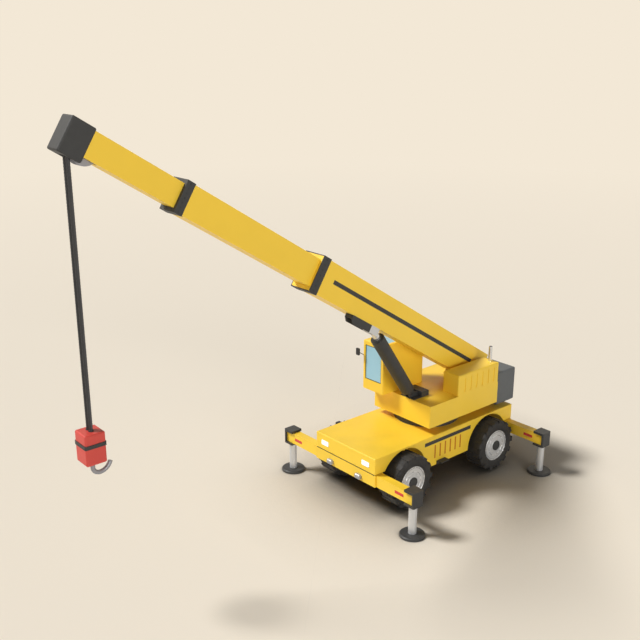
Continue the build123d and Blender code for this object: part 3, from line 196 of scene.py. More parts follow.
def two_tone(name, first, second, mask, metallic=(0, 0), roughness=(0.42, 0.5)):
    """Two finishes on one piece, parted where mask(tree) is 1."""
    material, tree, shader = new_material(name)
    part = mask(tree)
    tone = ranged(tree, noise(tree, 1.1), 0, 1)
    colour = mixed(tree, part, mixed(tree, tone, shade(first, 0.95), shade(first, 1.05)),
                   mixed(tree, tone, shade(second, 0.9), shade(second, 1.12)))
    tree.links.new(colour, shader.inputs["Base Color"])
    gloss = math(tree, "ADD", ranged(tree, noise(tree, 6, 5), -0.05, 0.05),
                 ranged(tree, part, roughness[0], roughness[1], 0, 1))
    tree.links.new(gloss, shader.inputs["Roughness"])
    if metallic[0] != metallic[1]:
        tree.links.new(ranged(tree, part, metallic[0], metallic[1], 0, 1), shader.inputs["Metallic"])
    elif metallic[0]:
        shader.inputs["Metallic"].default_value = metallic[0]
    bumped(tree, shader, noise(tree, 80, 2), 0.0006, 0.25)
    return material


backdrop = linear(243, 232, 214)
floor_tone = linear(243, 232, 214)
floor_bounce = linear(240, 231, 216)
# painted shade: the dark tone that the floor's colour runs to where the crane closes it in
painted_contact_shade = linear(40, 40, 38)
yellow = linear(250, 208, 58)
black = linear(47, 48, 49)
grey = linear(86, 90, 93)
silver = linear(206, 207, 208)
red = linear(212, 72, 62)
# painted shade: the darker orange in the recesses of the carrier's slots
slot_painted_shade = linear(206, 128, 32)


def separate(tree):
    """X, Y and Z of the shaded point."""
    return add(tree, "ShaderNodeSeparateXYZ", (("Vector", object_place(tree)),)).outputs


def outside(tree, value, middle, half):
    """1 where a coordinate is further than half from the middle."""
    return math(tree, "GREATER_THAN", math(tree, "ABSOLUTE", math(tree, "SUBTRACT", value, middle), 0), half)


def beam_mask(node):
    """The black cap at an outrigger beam's end: its plates, but not the beam between them."""
    low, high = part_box(node)
    out = max(abs(low.y), abs(high.y))
    middle = (low.x + high.x) / 2
    beam_half_width, beam_half_height, beam_middle_z = 0.1325, 0.1755, 1.19
    cap_length, end_plate = 0.3805, 0.0705

    def mask(tree):
        x, y, z = separate(tree)
        reach = math(tree, "ABSOLUTE", y, 0)
        plates = math(tree, "MAXIMUM", outside(tree, x, middle, beam_half_width),
                      outside(tree, z, beam_middle_z, beam_half_height))
        cap = math(tree, "MULTIPLY", math(tree, "GREATER_THAN", reach, out - cap_length), plates)
        return math(tree, "MAXIMUM", cap, math(tree, "GREATER_THAN", reach, out - end_plate))
    return mask


def slot_shade_mask(node):
    """The floors and walls of the slots let into the carrier's sides, where a darker orange is painted as
    shade.
    """
    middle = centre_of(node)
    slot_floor_y, side_y = 1.28, 1.2995
    slot_middle_z, slot_half_height, slot_half_length = 1.34, 0.222, 0.95

    def mask(tree):
        x, y, z = separate(tree)
        reach = math(tree, "ABSOLUTE", y, 0)
        let_in = math(tree, "MULTIPLY", math(tree, "GREATER_THAN", reach, slot_floor_y),
                      math(tree, "LESS_THAN", reach, side_y))
        past = math(tree, "MAXIMUM", outside(tree, z, slot_middle_z, slot_half_height),
                    outside(tree, x, middle.x, slot_half_length))
        return math(tree, "MULTIPLY", let_in, math(tree, "SUBTRACT", 1, past))
    return mask


def clevis_mask(node):
    """The lifting cylinder's bracket under the boom, ahead of its bright rear end."""
    bright_length = 0.37
    parting = boom_extent(node)[0] + bright_length

    def mask(tree):
        place = separate(tree)
        along = math(tree, "ADD", math(tree, "MULTIPLY", place[0], boom_dir.x),
                     math(tree, "MULTIPLY", place[2], boom_dir.z))
        return math(tree, "GREATER_THAN", along, parting)
    return mask


def pad_mask(tree):
    """The black pad at a jack's foot."""
    pad_top_z = 0.0855
    return math(tree, "LESS_THAN", separate(tree)[2], pad_top_z)


def band_mask(node):
    """The black band round the hook block."""
    band_rise, band_half_height = 0.4825, 0.0487
    band_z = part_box(node)[0].z + band_rise

    def mask(tree):
        away = math(tree, "ABSOLUTE", math(tree, "SUBTRACT", separate(tree)[2], band_z), 0)
        return math(tree, "LESS_THAN", away, band_half_height)
    return mask


def hub_mask(node):
    """The black hub cap at a wheel's middle, on its outer side."""
    middle = centre_of(node)
    low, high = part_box(node)
    out = max(abs(low.y), abs(high.y))
    cap_radius, cap_depth = 0.1615, 0.05

    def mask(tree):
        x, y, z = separate(tree)
        dx = math(tree, "SUBTRACT", x, middle.x)
        dz = math(tree, "SUBTRACT", z, middle.z)
        squares = math(tree, "ADD", math(tree, "MULTIPLY", dx, dx), math(tree, "MULTIPLY", dz, dz))
        near_axis = math(tree, "LESS_THAN", math(tree, "SQRT", squares, 0), cap_radius)
        at_face = math(tree, "GREATER_THAN", math(tree, "ABSOLUTE", y, 0), out - cap_depth)
        return math(tree, "MULTIPLY", near_axis, at_face)
    return mask


def rubber():
    """Tyre rubber, slightly mottled, with fine grain."""
    material, tree, shader = new_material("tyre_rubber")
    tone = ranged(tree, noise(tree, 4, 5), 0, 1)
    tree.links.new(mixed(tree, tone, linear(30, 30, 30), linear(40, 39, 39)), shader.inputs["Base Color"])
    tree.links.new(ranged(tree, noise(tree, 9, 4), 0.6, 0.78), shader.inputs["Roughness"])
    bumped(tree, shader, noise(tree, 120, 3), 0.0016, 0.4)
    return material


def metal(name, colour, roughness, metallic):
    """Metal, plated or dull, or a plain dark material, with fine grain."""
    material, tree, shader = new_material(name)
    tone = ranged(tree, noise(tree, 3, 4), 0, 1)
    tree.links.new(mixed(tree, tone, shade(colour, 0.93), shade(colour, 1.05)), shader.inputs["Base Color"])
    shader.inputs["Metallic"].default_value = metallic
    gloss = ranged(tree, noise(tree, 8, 5), roughness - 0.05, roughness + 0.07)
    tree.links.new(gloss, shader.inputs["Roughness"])
    bumped(tree, shader, noise(tree, 140, 2), 0.0004, 0.2)
    return material


def tinted_glass():
    """Pale blue cab glass: clear enough to show the seat, with a soft sheen."""
    material, tree, shader = new_material("cab_glass_blue")
    tone = ranged(tree, noise(tree, 0.8), 0, 1)
    tint = mixed(tree, tone, linear(156, 208, 230), linear(170, 217, 238))
    tree.links.new(tint, shader.inputs["Base Color"])
    shader.inputs["Roughness"].default_value = 0.12
    shader.inputs["Alpha"].default_value = 0.86
    shader.inputs["IOR"].default_value = 1.5
    shader.inputs["Coat Weight"].default_value = 0.3
    return material


def lens(name, colour, glow=0.0):
    """Moulded lamp lens with fine vertical flutes."""
    material, tree, shader = new_material(name)
    links = (("Vector", object_place(tree)), ("Scale", 14.0))
    wave = add(tree, "ShaderNodeTexWave", links, bands_direction="Y")
    tree.links.new(mixed(tree, wave.outputs["Fac"], shade(colour, 0.93), colour), shader.inputs["Base Color"])
    shader.inputs["Roughness"].default_value = 0.18
    shader.inputs["Coat Weight"].default_value = 0.5
    if glow:
        shader.inputs["Emission Color"].default_value = colour
        shader.inputs["Emission Strength"].default_value = glow
    bumped(tree, shader, wave.outputs["Fac"], 0.002, 0.3)
    return material


def assign(node, material):
    """Gives a CAD node its finish."""
    if not nodes[node].material_slots:
        nodes[node].data.materials.append(material)
    for slot in nodes[node].material_slots:
        slot.material = material


finishes = {
    "yellow_enamel": paint("yellow_enamel", yellow),
    "chassis_enamel": paint("chassis_enamel", shade(yellow, 0.98), 0.46),
    "black_enamel": paint("black_enamel", black, 0.55, 0.0009, 0.12, 0),
    "underbody_black": paint("underbody_black", linear(48, 47, 46), 0.62, 0.0015, 0.2, 0),
    "ballast_grey": paint("ballast_grey", grey, 0.55, 0.0014, 0.08),
    "mirror_black": paint("mirror_black", linear(24, 24, 25), 0.4),
    "tyre_rubber": rubber(),
    "wheel_silver": metal("wheel_silver", silver, 0.42, 0.35),
    "wheel_lip": metal("wheel_lip", linear(232, 233, 235), 0.25, 0.6),
    "lamp_housing": metal("lamp_housing", linear(164, 165, 168), 0.34, 0.5),
    "rod_chrome": metal("rod_chrome", linear(225, 226, 228), 0.2, 0.85),
    "hook_steel": metal("hook_steel", linear(150, 150, 156), 0.42, 0.5),
    "rope_wire": metal("rope_wire", linear(74, 74, 76), 0.5, 0.6),
    "seal_rubber": metal("seal_rubber", linear(40, 40, 41), 0.7, 0.0),
    "control_plastic": metal("control_plastic", linear(58, 58, 60), 0.55, 0.0),
    "glass": tinted_glass(),
    "lamp_white": lens("lamp_white", linear(255, 253, 246), 0.35),
    "lamp_red": lens("lamp_red", linear(214, 50, 40)),
    "lamp_amber": lens("lamp_amber", linear(244, 160, 50)),
}

node_finish = {
    "chassis": "chassis_enamel", "axles": "underbody_black", "outrigger_box_front": "chassis_enamel",
    "outrigger_box_rear": "chassis_enamel", "slew_pedestal": "chassis_enamel",
    "driveline": "underbody_black", "headlamps": "lamp_white", "bumper_lamps": "lamp_housing",
    "tail_lamps": "lamp_red", "side_steps": "black_enamel", "slew_ring": "black_enamel",
    "platform": "yellow_enamel", "counterweight": "ballast_grey", "warning_lamps": "lamp_amber",
    "engine_cover": "yellow_enamel", "engine_block": "underbody_black", "exhaust": "rod_chrome",
    "cab_shell": "yellow_enamel", "cab_glass": "glass", "mirror": "mirror_black",
    "boom_pivot": "yellow_enamel", "cylinder_base": "black_enamel", "cab_door": "yellow_enamel",
    "door_glass": "glass", "boom_base": "yellow_enamel", "base_collar": "black_enamel",
    "boom_mid": "yellow_enamel", "mid_collar": "black_enamel",
    "boom_tip": "yellow_enamel", "boom_head": "black_enamel", "head_sheaves": "hook_steel",
    "hook": "hook_steel", "cylinder_barrel": "black_enamel", "cylinder_rod": "rod_chrome",
    "operator_seat": "black_enamel", "hoist_rope": "rope_wire",
}
for node, finish in node_finish.items():
    assign(node, finishes[finish])
for name in corner_names:
    assign(f"tyre_{name}", finishes["tyre_rubber"])
    assign(f"knuckle_{name}", finishes["underbody_black"])
    assign(f"beam_{name}", two_tone(f"beam_finish_{name}", yellow, black, beam_mask(f"beam_{name}")))
    assign(f"jack_{name}", two_tone(f"jack_finish_{name}", silver, black, pad_mask, (0.5, 0), (0.35, 0.55)))
    assign(f"rim_{name}", two_tone(f"rim_finish_{name}", silver, black, hub_mask(f"rim_{name}"),
                                   (0.35, 0), (0.42, 0.5)))
assign("hook_block", two_tone("block_finish", red, black, band_mask("hook_block")))
# The slots' floors and walls are painted a darker orange as shade.
assign("carrier_body", two_tone("carrier_finish", yellow, slot_painted_shade, slot_shade_mask("carrier_body")))
assign("rod_bracket", two_tone("bracket_finish", silver, black, clevis_mask("rod_bracket"),
                               (0.4, 0), (0.4, 0.55)))


# ---------------------------------------------------------------- modelling helpers
def deselect():
    """Object mode, with nothing selected."""
    if bpy.context.object and bpy.context.object.mode != "OBJECT":
        bpy.ops.object.mode_set(mode="OBJECT")
    bpy.ops.object.select_all(action="DESELECT")


def settle(piece, name, body, material):
    """Names a finished piece, puts its place into its mesh, and fixes it to its body."""
    piece.name = name
    piece.data.name = name
    deselect()
    piece.select_set(True)
    bpy.context.view_layer.objects.active = piece
    bpy.ops.object.transform_apply(location=True, rotation=True, scale=True)
    piece.data.materials.clear()
    piece.data.materials.append(material)
    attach(piece, body)
    return piece


def bevel_edges(piece, width, segments=3):
    """Eased edges, applied."""
    modifier = piece.modifiers.new("eased", "BEVEL")
    modifier.width = width
    modifier.segments = segments
    modifier.limit_method = "ANGLE"
    deselect()
    piece.select_set(True)
    bpy.context.view_layer.objects.active = piece
    bpy.ops.object.modifier_apply(modifier="eased")


def bar(low, high, width, segments=3, turn=None, origin=None):
    """A block with eased edges between two corners, turned about an origin if asked."""
    deselect()
    middle = (Vector(low) + Vector(high)) / 2
    bpy.ops.mesh.primitive_cube_add(size=1, location=(0, 0, 0))
    piece = bpy.context.object
    piece.scale = [abs(high[axis] - low[axis]) for axis in range(3)]
    bpy.ops.object.transform_apply(location=False, rotation=False, scale=True)
    bevel_edges(piece, width, segments)
    place = Matrix.Translation(middle)
    if turn:
        place = Matrix.Translation(origin) @ turn @ place
    piece.matrix_world = place
    return piece


def join(pieces):
    """The pieces as one mesh."""
    deselect()
    bpy.context.view_layer.update()
    for piece in pieces:
        piece.select_set(True)
    bpy.context.view_layer.objects.active = pieces[0]
    bpy.ops.object.join()
    return bpy.context.object


# ---------------------------------------------------------------- stripes and reflectors
stripe_half_depth = 0.004
stripe_ease = 0.003


def boom_stripes():
    """A black stripe let into the paint on either side of the boom base."""
    s_low, _, _, n_high = boom_extent("boom_base")
    half_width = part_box("boom_base")[1].y
    start, end = s_low + 0.75, s_low + 7.77
    lower, upper = n_high - 0.53, n_high - 0.41
    strips = []
    for side in sides:
        low = (start, side * half_width - stripe_half_depth, lower)
        high = (end, side * half_width + stripe_half_depth, upper)
        strips.append(bar(low, high, stripe_ease, 2, boom_turn, (0, 0, 0)))
    settle(join(strips), "boom_stripes", "boom", finishes["black_enamel"])


def carrier_stripes():
    """A black stripe above the slots on either side of the carrier."""
    low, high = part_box("carrier_body")
    middle = (low.x + high.x) / 2
    rear, front = middle - 1.055, middle + 1.046
    lower, upper = 1.622, 1.742
    strips = []
    for side in sides:
        strips.append(bar((rear, side * high.y - stripe_half_depth, lower),
                          (front, side * high.y + stripe_half_depth, upper), stripe_ease, 2))
    settle(join(strips), "carrier_stripes", "carrier", finishes["black_enamel"])


def reflectors(name):
    """Red reflectors on both long faces of an outrigger beam, clear of its box when it is in."""
    low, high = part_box(f"beam_{name}")
    side = 1 if high.y > abs(low.y) else -1
    out = max(abs(low.y), abs(high.y))
    middle = (low.x + high.x) / 2
    inner, outer = out - 0.80, out - 0.46
    lower, upper = 1.14, 1.23
    face_offset, half_depth = 0.132, 0.005
    ends = sorted((side * inner, side * outer))
    strips = []
    for face in (1, -1):
        x = middle + face * face_offset
        strips.append(bar((x - half_depth, ends[0], lower), (x + half_depth, ends[1], upper),
                          stripe_ease, 2))
    settle(join(strips), f"reflector_{name}", f"beam_{name}", finishes["lamp_red"])


boom_stripes()
carrier_stripes()
for name in corner_names:
    reflectors(name)


# ---------------------------------------------------------------- hoist line
def laid_rope(x, y, low_z, high_z, radius):
    """A wire rope hanging between two heights: six round strands laid about its middle."""
    lay = 0.42                  # height of one full turn
    strand_count = 6
    steps_a_lay = 12
    strand_radius, strand_offset = 0.37 * radius, 0.62 * radius
    strands = []
    for strand in range(strand_count):
        turn = 2 * pi * strand / strand_count
        deselect()
        place = (strand_offset * cos(turn), strand_offset * sin(turn), 0)
        bpy.ops.mesh.primitive_circle_add(vertices=8, radius=strand_radius, location=place)
        strands.append(bpy.context.object)
        bpy.ops.object.transform_apply(location=True, rotation=False, scale=False)
    rope = join(strands)
    bpy.context.scene.cursor.location = (0, 0, 0)
    bpy.ops.object.origin_set(type="ORIGIN_CURSOR")
    modifier = rope.modifiers.new("laid", "SCREW")
    modifier.axis = "Z"
    modifier.angle = 2 * pi * (high_z - low_z) / lay
    modifier.screw_offset = high_z - low_z
    modifier.steps = modifier.render_steps = int((high_z - low_z) / lay * steps_a_lay)
    modifier.use_normal_calculate = True
    bpy.ops.object.modifier_apply(modifier="laid")
    bpy.ops.object.mode_set(mode="EDIT")
    bpy.ops.mesh.select_all(action="DESELECT")
    bpy.ops.mesh.select_mode(type="EDGE")
    bpy.ops.mesh.select_non_manifold(extend=False, use_wire=False, use_boundary=True,
                                     use_multi_face=False, use_non_contiguous=False, use_verts=False)
    bpy.ops.mesh.edge_face_add()
    bpy.ops.mesh.select_all(action="SELECT")
    bpy.ops.mesh.normals_make_consistent(inside=False)
    bpy.ops.object.mode_set(mode="OBJECT")
    bpy.ops.object.shade_smooth_by_angle(angle=radians(50))
    rope.matrix_world = Matrix.Translation((x, y, low_z))
    return rope


def hoist_line():
    """Two wire-rope falls from the head's sheave to the block, shortened as the block is hoisted."""
    low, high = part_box("hoist_rope")
    radius = (high.x - low.x) / 2
    x = (low.x + high.x) / 2
    falls = [laid_rope(x, y, low.z, high.z, radius) for y in (high.y - radius, low.y + radius)]
    piece = settle(join(falls), "hoist_falls", "hoist_line", finishes["rope_wire"])
    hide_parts("hoist_rope")
    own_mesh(piece)


hoist_line()


# ---------------------------------------------------------------- operator's seat
def seat_leather():
    """Dark seat leather with grain."""
    material, tree, shader = new_material("seat_leather")
    tone = ranged(tree, noise(tree, 12, 4), 0, 1)
    tree.links.new(mixed(tree, tone, linear(46, 46, 48), linear(64, 63, 64)), shader.inputs["Base Color"])
    tree.links.new(ranged(tree, noise(tree, 30, 4), 0.45, 0.62), shader.inputs["Roughness"])
    cells = add(tree, "ShaderNodeTexVoronoi", (("Vector", object_place(tree)), ("Scale", 160.0)))
    bumped(tree, shader, cells.outputs["Distance"], 0.0015, 0.35)
    return material


def swollen_pad(low, high):
    """A stuffed pad: a case blown up by the cloth solver, with two sewn channels across it."""
    swell = 0.024               # the most that the case may swell
    last_frame = 20
    channels = (-0.17, 0.17)    # places along the pad, as parts of its length
    channel_width, channel_depth = 0.012, 0.06
    bell_base = 2.718
    margin = Vector((swell, swell, swell))
    case = bar(low + margin, high - margin, 0.02, 2)
    deselect()
    case.select_set(True)
    bpy.context.view_layer.objects.active = case
    bpy.ops.object.transform_apply(location=True, rotation=True, scale=True)
    remesh = case.modifiers.new("case", "REMESH")
    remesh.mode = "VOXEL"
    remesh.voxel_size = 0.011
    bpy.ops.object.modifier_apply(modifier="case")
    start = [vertex.co.copy() for vertex in case.data.vertices]
    cloth = case.modifiers.new("stuffing", "CLOTH")
    cloth.settings.use_pressure = True
    cloth.settings.uniform_pressure_force = 4
    cloth.settings.effector_weights.gravity = 0
    for frame_number in range(1, last_frame + 1):
        bpy.context.scene.frame_set(frame_number)
    deselect()
    case.select_set(True)
    bpy.context.view_layer.objects.active = case
    bpy.ops.object.modifier_apply(modifier="stuffing")
    bpy.context.scene.frame_set(1)
    for vertex, rest in zip(case.data.vertices, start):
        moved = vertex.co - rest
        if moved.length > swell:
            vertex.co = rest + moved * (swell / moved.length)
    middle = (low + high) / 2
    length = max(high.x - low.x, high.z - low.z)
    along = 0 if high.x - low.x > high.z - low.z else 2
    for vertex in case.data.vertices:
        for channel in channels:
            near = (vertex.co[along] - middle[along] - channel * length) / channel_width
            vertex.co = middle + (vertex.co - middle) * (1 - channel_depth * bell_base ** (-near * near))
    smooth = case.modifiers.new("skin", "SUBSURF")
    smooth.levels = smooth.render_levels = 1
    bpy.ops.object.modifier_apply(modifier="skin")
    bpy.ops.object.shade_smooth()
    return case


def seat_pads():
    """The cushion and the backrest, each its own stuffed pad."""
    low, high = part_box("operator_seat")
    pad, gap = 0.12, 0.004
    leather = seat_leather()
    cushion = swollen_pad(low, Vector((high.x, high.y, low.z + pad)))
    backrest = swollen_pad(Vector((low.x, low.y, low.z + pad + gap)),
                           Vector((low.x + pad, high.y, high.z)))
    piece = settle(join([cushion, backrest]), "seat_cushions", "upper", leather)
    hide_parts("operator_seat")


seat_pads()


# ---------------------------------------------------------------- bolts and nuts
def active_cylinder(radius, depth, vertices, low_z=0.0):
    """A cylinder standing on a level, at the origin."""
    deselect()
    bpy.ops.mesh.primitive_cylinder_add(vertices=vertices, radius=radius, depth=depth,
                                        location=(0, 0, low_z + depth / 2))
    bpy.ops.object.transform_apply(location=True, rotation=False, scale=False)
    return bpy.context.object


def hex_bolt(size):
    """A hexagon head on its washer, standing on the plane it clamps; size is the head's radius."""
    washer = active_cylinder(1.3 * size, 0.16 * size, 20)
    head = active_cylinder(size, 0.7 * size, 6, 0.12 * size)
    bevel_edges(head, 0.1 * size, 2)
    return join([head, washer])


def copied(piece, place):
    """A copy with its own mesh, set at a place."""
    copy = piece.copy()
    copy.data = piece.data.copy()
    bpy.context.scene.collection.objects.link(copy)
    copy.matrix_world = place
    return copy


def remove(piece):
    """Deletes a pattern piece once it has been copied."""
    deselect()
    piece.select_set(True)
    bpy.context.view_layer.objects.active = piece
    bpy.ops.object.delete()


def bolt_circle(centre, axis, radius, count, size):
    """Bolts round a circle, their heads pointing along the axis."""
    bolt = hex_bolt(size)
    lie = Matrix.Translation(centre) @ Vector(axis).to_track_quat("Z", "X").to_matrix().to_4x4()
    bolts = [copied(bolt, lie @ Matrix.Rotation(2 * pi * step / count, 4, "Z")
                    @ Matrix.Translation((radius, 0, 0))) for step in range(count)]
    remove(bolt)
    return bolts


def bolt_rows(points, axis, size):
    """Bolts at listed points, their heads pointing along the axis."""
    bolt = hex_bolt(size)
    lie = Vector(axis).to_track_quat("Z", "X").to_matrix().to_4x4()
    bolts = [copied(bolt, Matrix.Translation(point) @ lie) for point in points]
    remove(bolt)
    return bolts


def ring(centre, axis, radius, thickness, flat=1.0):
    """A round ring about an axis, flattened along it if asked."""
    deselect()
    bpy.ops.mesh.primitive_torus_add(major_radius=radius, minor_radius=thickness,
                                     major_segments=96, minor_segments=10)
    piece = bpy.context.object
    piece.scale = (1, 1, flat)
    bpy.ops.object.transform_apply(location=False, rotation=False, scale=True)
    bpy.ops.object.shade_smooth()
    piece.matrix_world = (Matrix.Translation(centre)
                          @ Vector(axis).to_track_quat("Z", "X").to_matrix().to_4x4())
    return piece


disc_inner_radius, disc_outer_radius = 0.19, 0.47
rim_edge_radius = 0.48
nut_circle_radius, nut_count, nut_size = 0.245, 10, 0.018
lip_radius, lip_thickness, lip_sink = 0.482, 0.011, 0.004
raised_radius, raised_thickness, raised_flat = 0.335, 0.010, 0.7
# Painted shade: a flat darker grey ring on the rim stands for the shade in a groove.
painted_groove_radius, painted_groove_thickness, painted_groove_flat = 0.452, 0.009, 0.35
rib_depth, rib_width, rib_ease = 0.011, 0.46, 0.03


def wheel_trim(name):
    """Wheel nuts, two raised rings on the rim with a darker ring painted between them as a groove's shade,
    and a drum whose rim shows as a tread rib.
    """
    rim = nodes[f"rim_{name}"].data.vertices
    middle = centre_of(f"tyre_{name}")
    side = 1 if middle.y > 0 else -1
    low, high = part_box(f"tyre_{name}")
    tread_radius = (high.z - low.z) / 2
    disc = max(side * vertex.co.y for vertex in rim
               if disc_inner_radius < (vertex.co - middle).xz.length < disc_outer_radius)
    face = max(side * vertex.co.y for vertex in rim
               if rim_edge_radius < (vertex.co - middle).xz.length)
    axis = (0, side, 0)
    on_disc = (middle.x, side * disc, middle.z)
    body = f"wheel_{name}"
    nuts = bolt_circle(on_disc, axis, nut_circle_radius, nut_count, nut_size)
    settle(join(nuts), f"wheel_nuts_{name}", body, finishes["wheel_silver"])
    lip = ring((middle.x, side * (face - lip_sink), middle.z), axis, lip_radius, lip_thickness)
    raised = ring(on_disc, axis, raised_radius, raised_thickness, raised_flat)
    settle(join([lip, raised]), f"rim_lip_{name}", body, finishes["wheel_lip"])
    rib = active_cylinder(tread_radius - rib_depth, rib_width, 96)
    bevel_edges(rib, rib_ease, 4)
    rib.matrix_world = (Matrix.Translation(middle) @ Matrix.Rotation(pi / 2, 4, "X")
                        @ Matrix.Translation((0, 0, -rib_width / 2)))
    settle(rib, f"tread_rib_{name}", body, finishes["tyre_rubber"])
    # A darker grey ring painted on the rim as a groove's shade.
    painted_groove_ring = ring(on_disc, axis, painted_groove_radius, painted_groove_thickness, painted_groove_flat)
    settle(painted_groove_ring, f"rim_painted_groove_{name}", body, finishes["lamp_housing"])


def islands(node):
    """The low and high corners of each separate solid in a CAD node."""
    mesh = bmesh.new()
    mesh.from_mesh(nodes[node].data)
    bmesh.ops.remove_doubles(mesh, verts=mesh.verts, dist=0.00001)
    waiting = set(mesh.verts)
    corners = []
    while waiting:
        front = [waiting.pop()]
        found = []
        while front:
            vertex = front.pop()
            found.append(vertex.co.copy())
            for edge in vertex.link_edges:
                other = edge.other_vert(vertex)
                if other in waiting:
                    waiting.remove(other)
                    front.append(other)
        corners.append((Vector([min(point[axis] for point in found) for axis in range(3)]),
                        Vector([max(point[axis] for point in found) for axis in range(3)])))
    mesh.free()
    return corners


def frame_bars(low, high, thin, width, depth, ease):
    """Four eased bars round the edge of a flat opening, meeting at its corners."""
    across = [axis for axis in range(3) if axis != thin]
    middle = (low[thin] + high[thin]) / 2
    pieces = []
    for side in across[::-1]:
        for edge in (low[side] + width / 2, high[side] - width / 2):
            first = Vector(low)
            last = Vector(high)
            first[side], last[side] = edge - width / 2, edge + width / 2
            first[thin], last[thin] = middle - depth / 2, middle + depth / 2
            pieces.append(bar(first, last, ease, 2))
    return pieces


def gaskets(node, name):
    """A black rubber gasket gripping the edge of every pane in a node."""
    width, past_glass, ease = 0.022, 0.016, 0.004
    bars = []
    for low, high in islands(node):
        size = high - low
        thin = min(range(3), key=lambda axis: size[axis])
        bars += frame_bars(low, high, thin, width, size[thin] + past_glass, ease)
    settle(join(bars), name, nodes[node]["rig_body"], finishes["seal_rubber"])


def rod(start, end, radius, vertices=20):
    """A round bar between two points."""
    start, end = Vector(start), Vector(end)
    piece = active_cylinder(radius, (end - start).length, vertices)
    bevel_edges(piece, 0.15 * radius, 2)
    piece.matrix_world = (Matrix.Translation(start)
                          @ (end - start).to_track_quat("Z", "X").to_matrix().to_4x4())
    return piece


def knob(centre, radius):
    """A hand knob, taller than it is wide."""
    deselect()
    bpy.ops.mesh.primitive_uv_sphere_add(radius=radius, segments=24, ring_count=14, location=centre)
    piece = bpy.context.object
    piece.scale = (1, 1, 1.35)
    bpy.ops.object.shade_smooth()
    return piece


def driving_controls():
    """Steering wheel and column, and an armrest with a lever on either side of the seat."""
    seat_low, seat_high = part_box("operator_seat")
    middle_y = (seat_low.y + seat_high.y) / 2
    hub = Vector((seat_high.x + 0.34, middle_y, seat_low.z + 0.42))
    lean = Vector((-0.42, 0, 1)).normalized()
    tilt = lean.to_track_quat("Z", "X").to_matrix()
    wheel_radius, wheel_bar_radius = 0.19, 0.014
    spoke_count, spoke_length, spoke_radius = 3, 0.185, 0.012
    hub_radius, column_radius, column_length = 0.045, 0.026, 0.42
    armrest_offset, armrest_half_width, armrest_ease = 0.305, 0.035, 0.012
    pleat_count, pleat_rise, pleat_radius, pleat_taper, pleat_thickness = 4, 0.011, 0.026, 0.005, 0.007
    lever_radius, knob_radius = 0.008, 0.022
    pieces = [ring(hub, lean, wheel_radius, wheel_bar_radius)]
    for step in range(spoke_count):
        turn = 2 * pi * step / spoke_count + pi / 2
        rim_point = hub + tilt @ Vector((spoke_length * cos(turn), spoke_length * sin(turn), 0))
        pieces.append(rod(hub - lean * 0.02, rim_point, spoke_radius))
    pieces.append(rod(hub - lean * 0.07, hub + lean * 0.012, hub_radius, 28))
    pieces.append(rod(hub - lean * column_length, hub - lean * 0.03, column_radius))
    for side in (-1, 1):
        y = middle_y + side * armrest_offset
        low = (seat_low.x + 0.10, y - armrest_half_width, seat_low.z - 0.25)
        high = (seat_low.x + 0.50, y + armrest_half_width, seat_low.z + 0.24)
        pieces.append(bar(low, high, armrest_ease))
        foot = Vector((seat_low.x + 0.42, y, seat_low.z + 0.235))
        top = foot + Vector((0.02, 0, 0.16))
        for pleat in range(pleat_count):
            centre = foot + Vector((0, 0, 0.008 + pleat_rise * pleat))
            pieces.append(ring(centre, (0, 0, 1), pleat_radius - pleat_taper * pleat, pleat_thickness))
        pieces += [rod(foot, top, lever_radius), knob(top + Vector((0, 0, 0.02)), knob_radius)]
    settle(join(pieces), "driving_controls", nodes["cab_shell"]["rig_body"],
           finishes["control_plastic"])


def mirror_glass():
    """The mirror's silvered face, let into the back of its housing."""
    low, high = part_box("mirror")
    margin, glass_ease = 0.012, 0.0015
    glass_low = (high.x - 0.0365, low.y + margin, high.z - 0.218)
    glass_high = (high.x - 0.033, low.y + 0.138, high.z - margin)
    settle(bar(glass_low, glass_high, glass_ease, 2), "mirror_glass", nodes["mirror"]["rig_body"],
           finishes["rod_chrome"])


def step_treads():
    """Raised grip bars across each foot step."""
    row_count, first_row, row_gap, end_margin = 4, 0.03, 0.042, 0.03
    half_width, sink, rise, ease = 0.006, 0.004, 0.005, 0.002
    pieces = []
    for low, high in islands("side_steps"):
        side = 1 if high.y > 0 else -1
        edge = max(abs(low.y), abs(high.y))
        for row in range(row_count):
            y = side * (edge - first_row - row_gap * row)
            pieces.append(bar((low.x + end_margin, y - half_width, high.z - sink),
                              (high.x - end_margin, y + half_width, high.z + rise), ease, 1))
    settle(join(pieces), "step_treads", nodes["side_steps"]["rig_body"],
           finishes["black_enamel"])


def rope_sockets():
    """The ferrules by which both falls enter the hook block."""
    low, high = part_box("hoist_rope")
    radius = (high.x - low.x) / 2
    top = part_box("hook_block")[1].z
    x = (low.x + high.x) / 2
    sink, rise, wall = 0.01, 0.03, 0.012
    pieces = []
    for y in (high.y - radius, low.y + radius):
        pieces.append(rod((x, y, top - sink), (x, y, top + rise), radius + wall, 32))
    settle(join(pieces), "rope_sockets", nodes["hook_block"]["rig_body"],
           finishes["black_enamel"])


def lamp_bezels():
    """A thin bright bezel behind each headlamp."""
    edge, depth, ease = 0.007, 0.006, 0.0028
    pieces = []
    for low, high in islands("headlamps"):
        pieces.append(bar((low.x, low.y - edge, low.z - edge),
                          (low.x + depth, high.y + edge, high.z + edge), ease, 2))
    settle(join(pieces), "lamp_bezels", "carrier", finishes["wheel_lip"])


def hood_seal():
    """The dark rubber seal across the front, between the hood and the outrigger box."""
    front_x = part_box("carrier_body")[1].x
    box_high_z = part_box("outrigger_box_front")[1].z
    end_margin, sink, rise, half_height, ease = 0.03, 0.01, 0.002, 0.007, 0.0012
    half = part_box("carrier_body")[1].y - end_margin
    seal = bar((front_x - sink, -half, box_high_z - half_height),
               (front_x + rise, half, box_high_z + half_height), ease, 2)
    settle(seal, "hood_seal", "carrier", finishes["seal_rubber"])


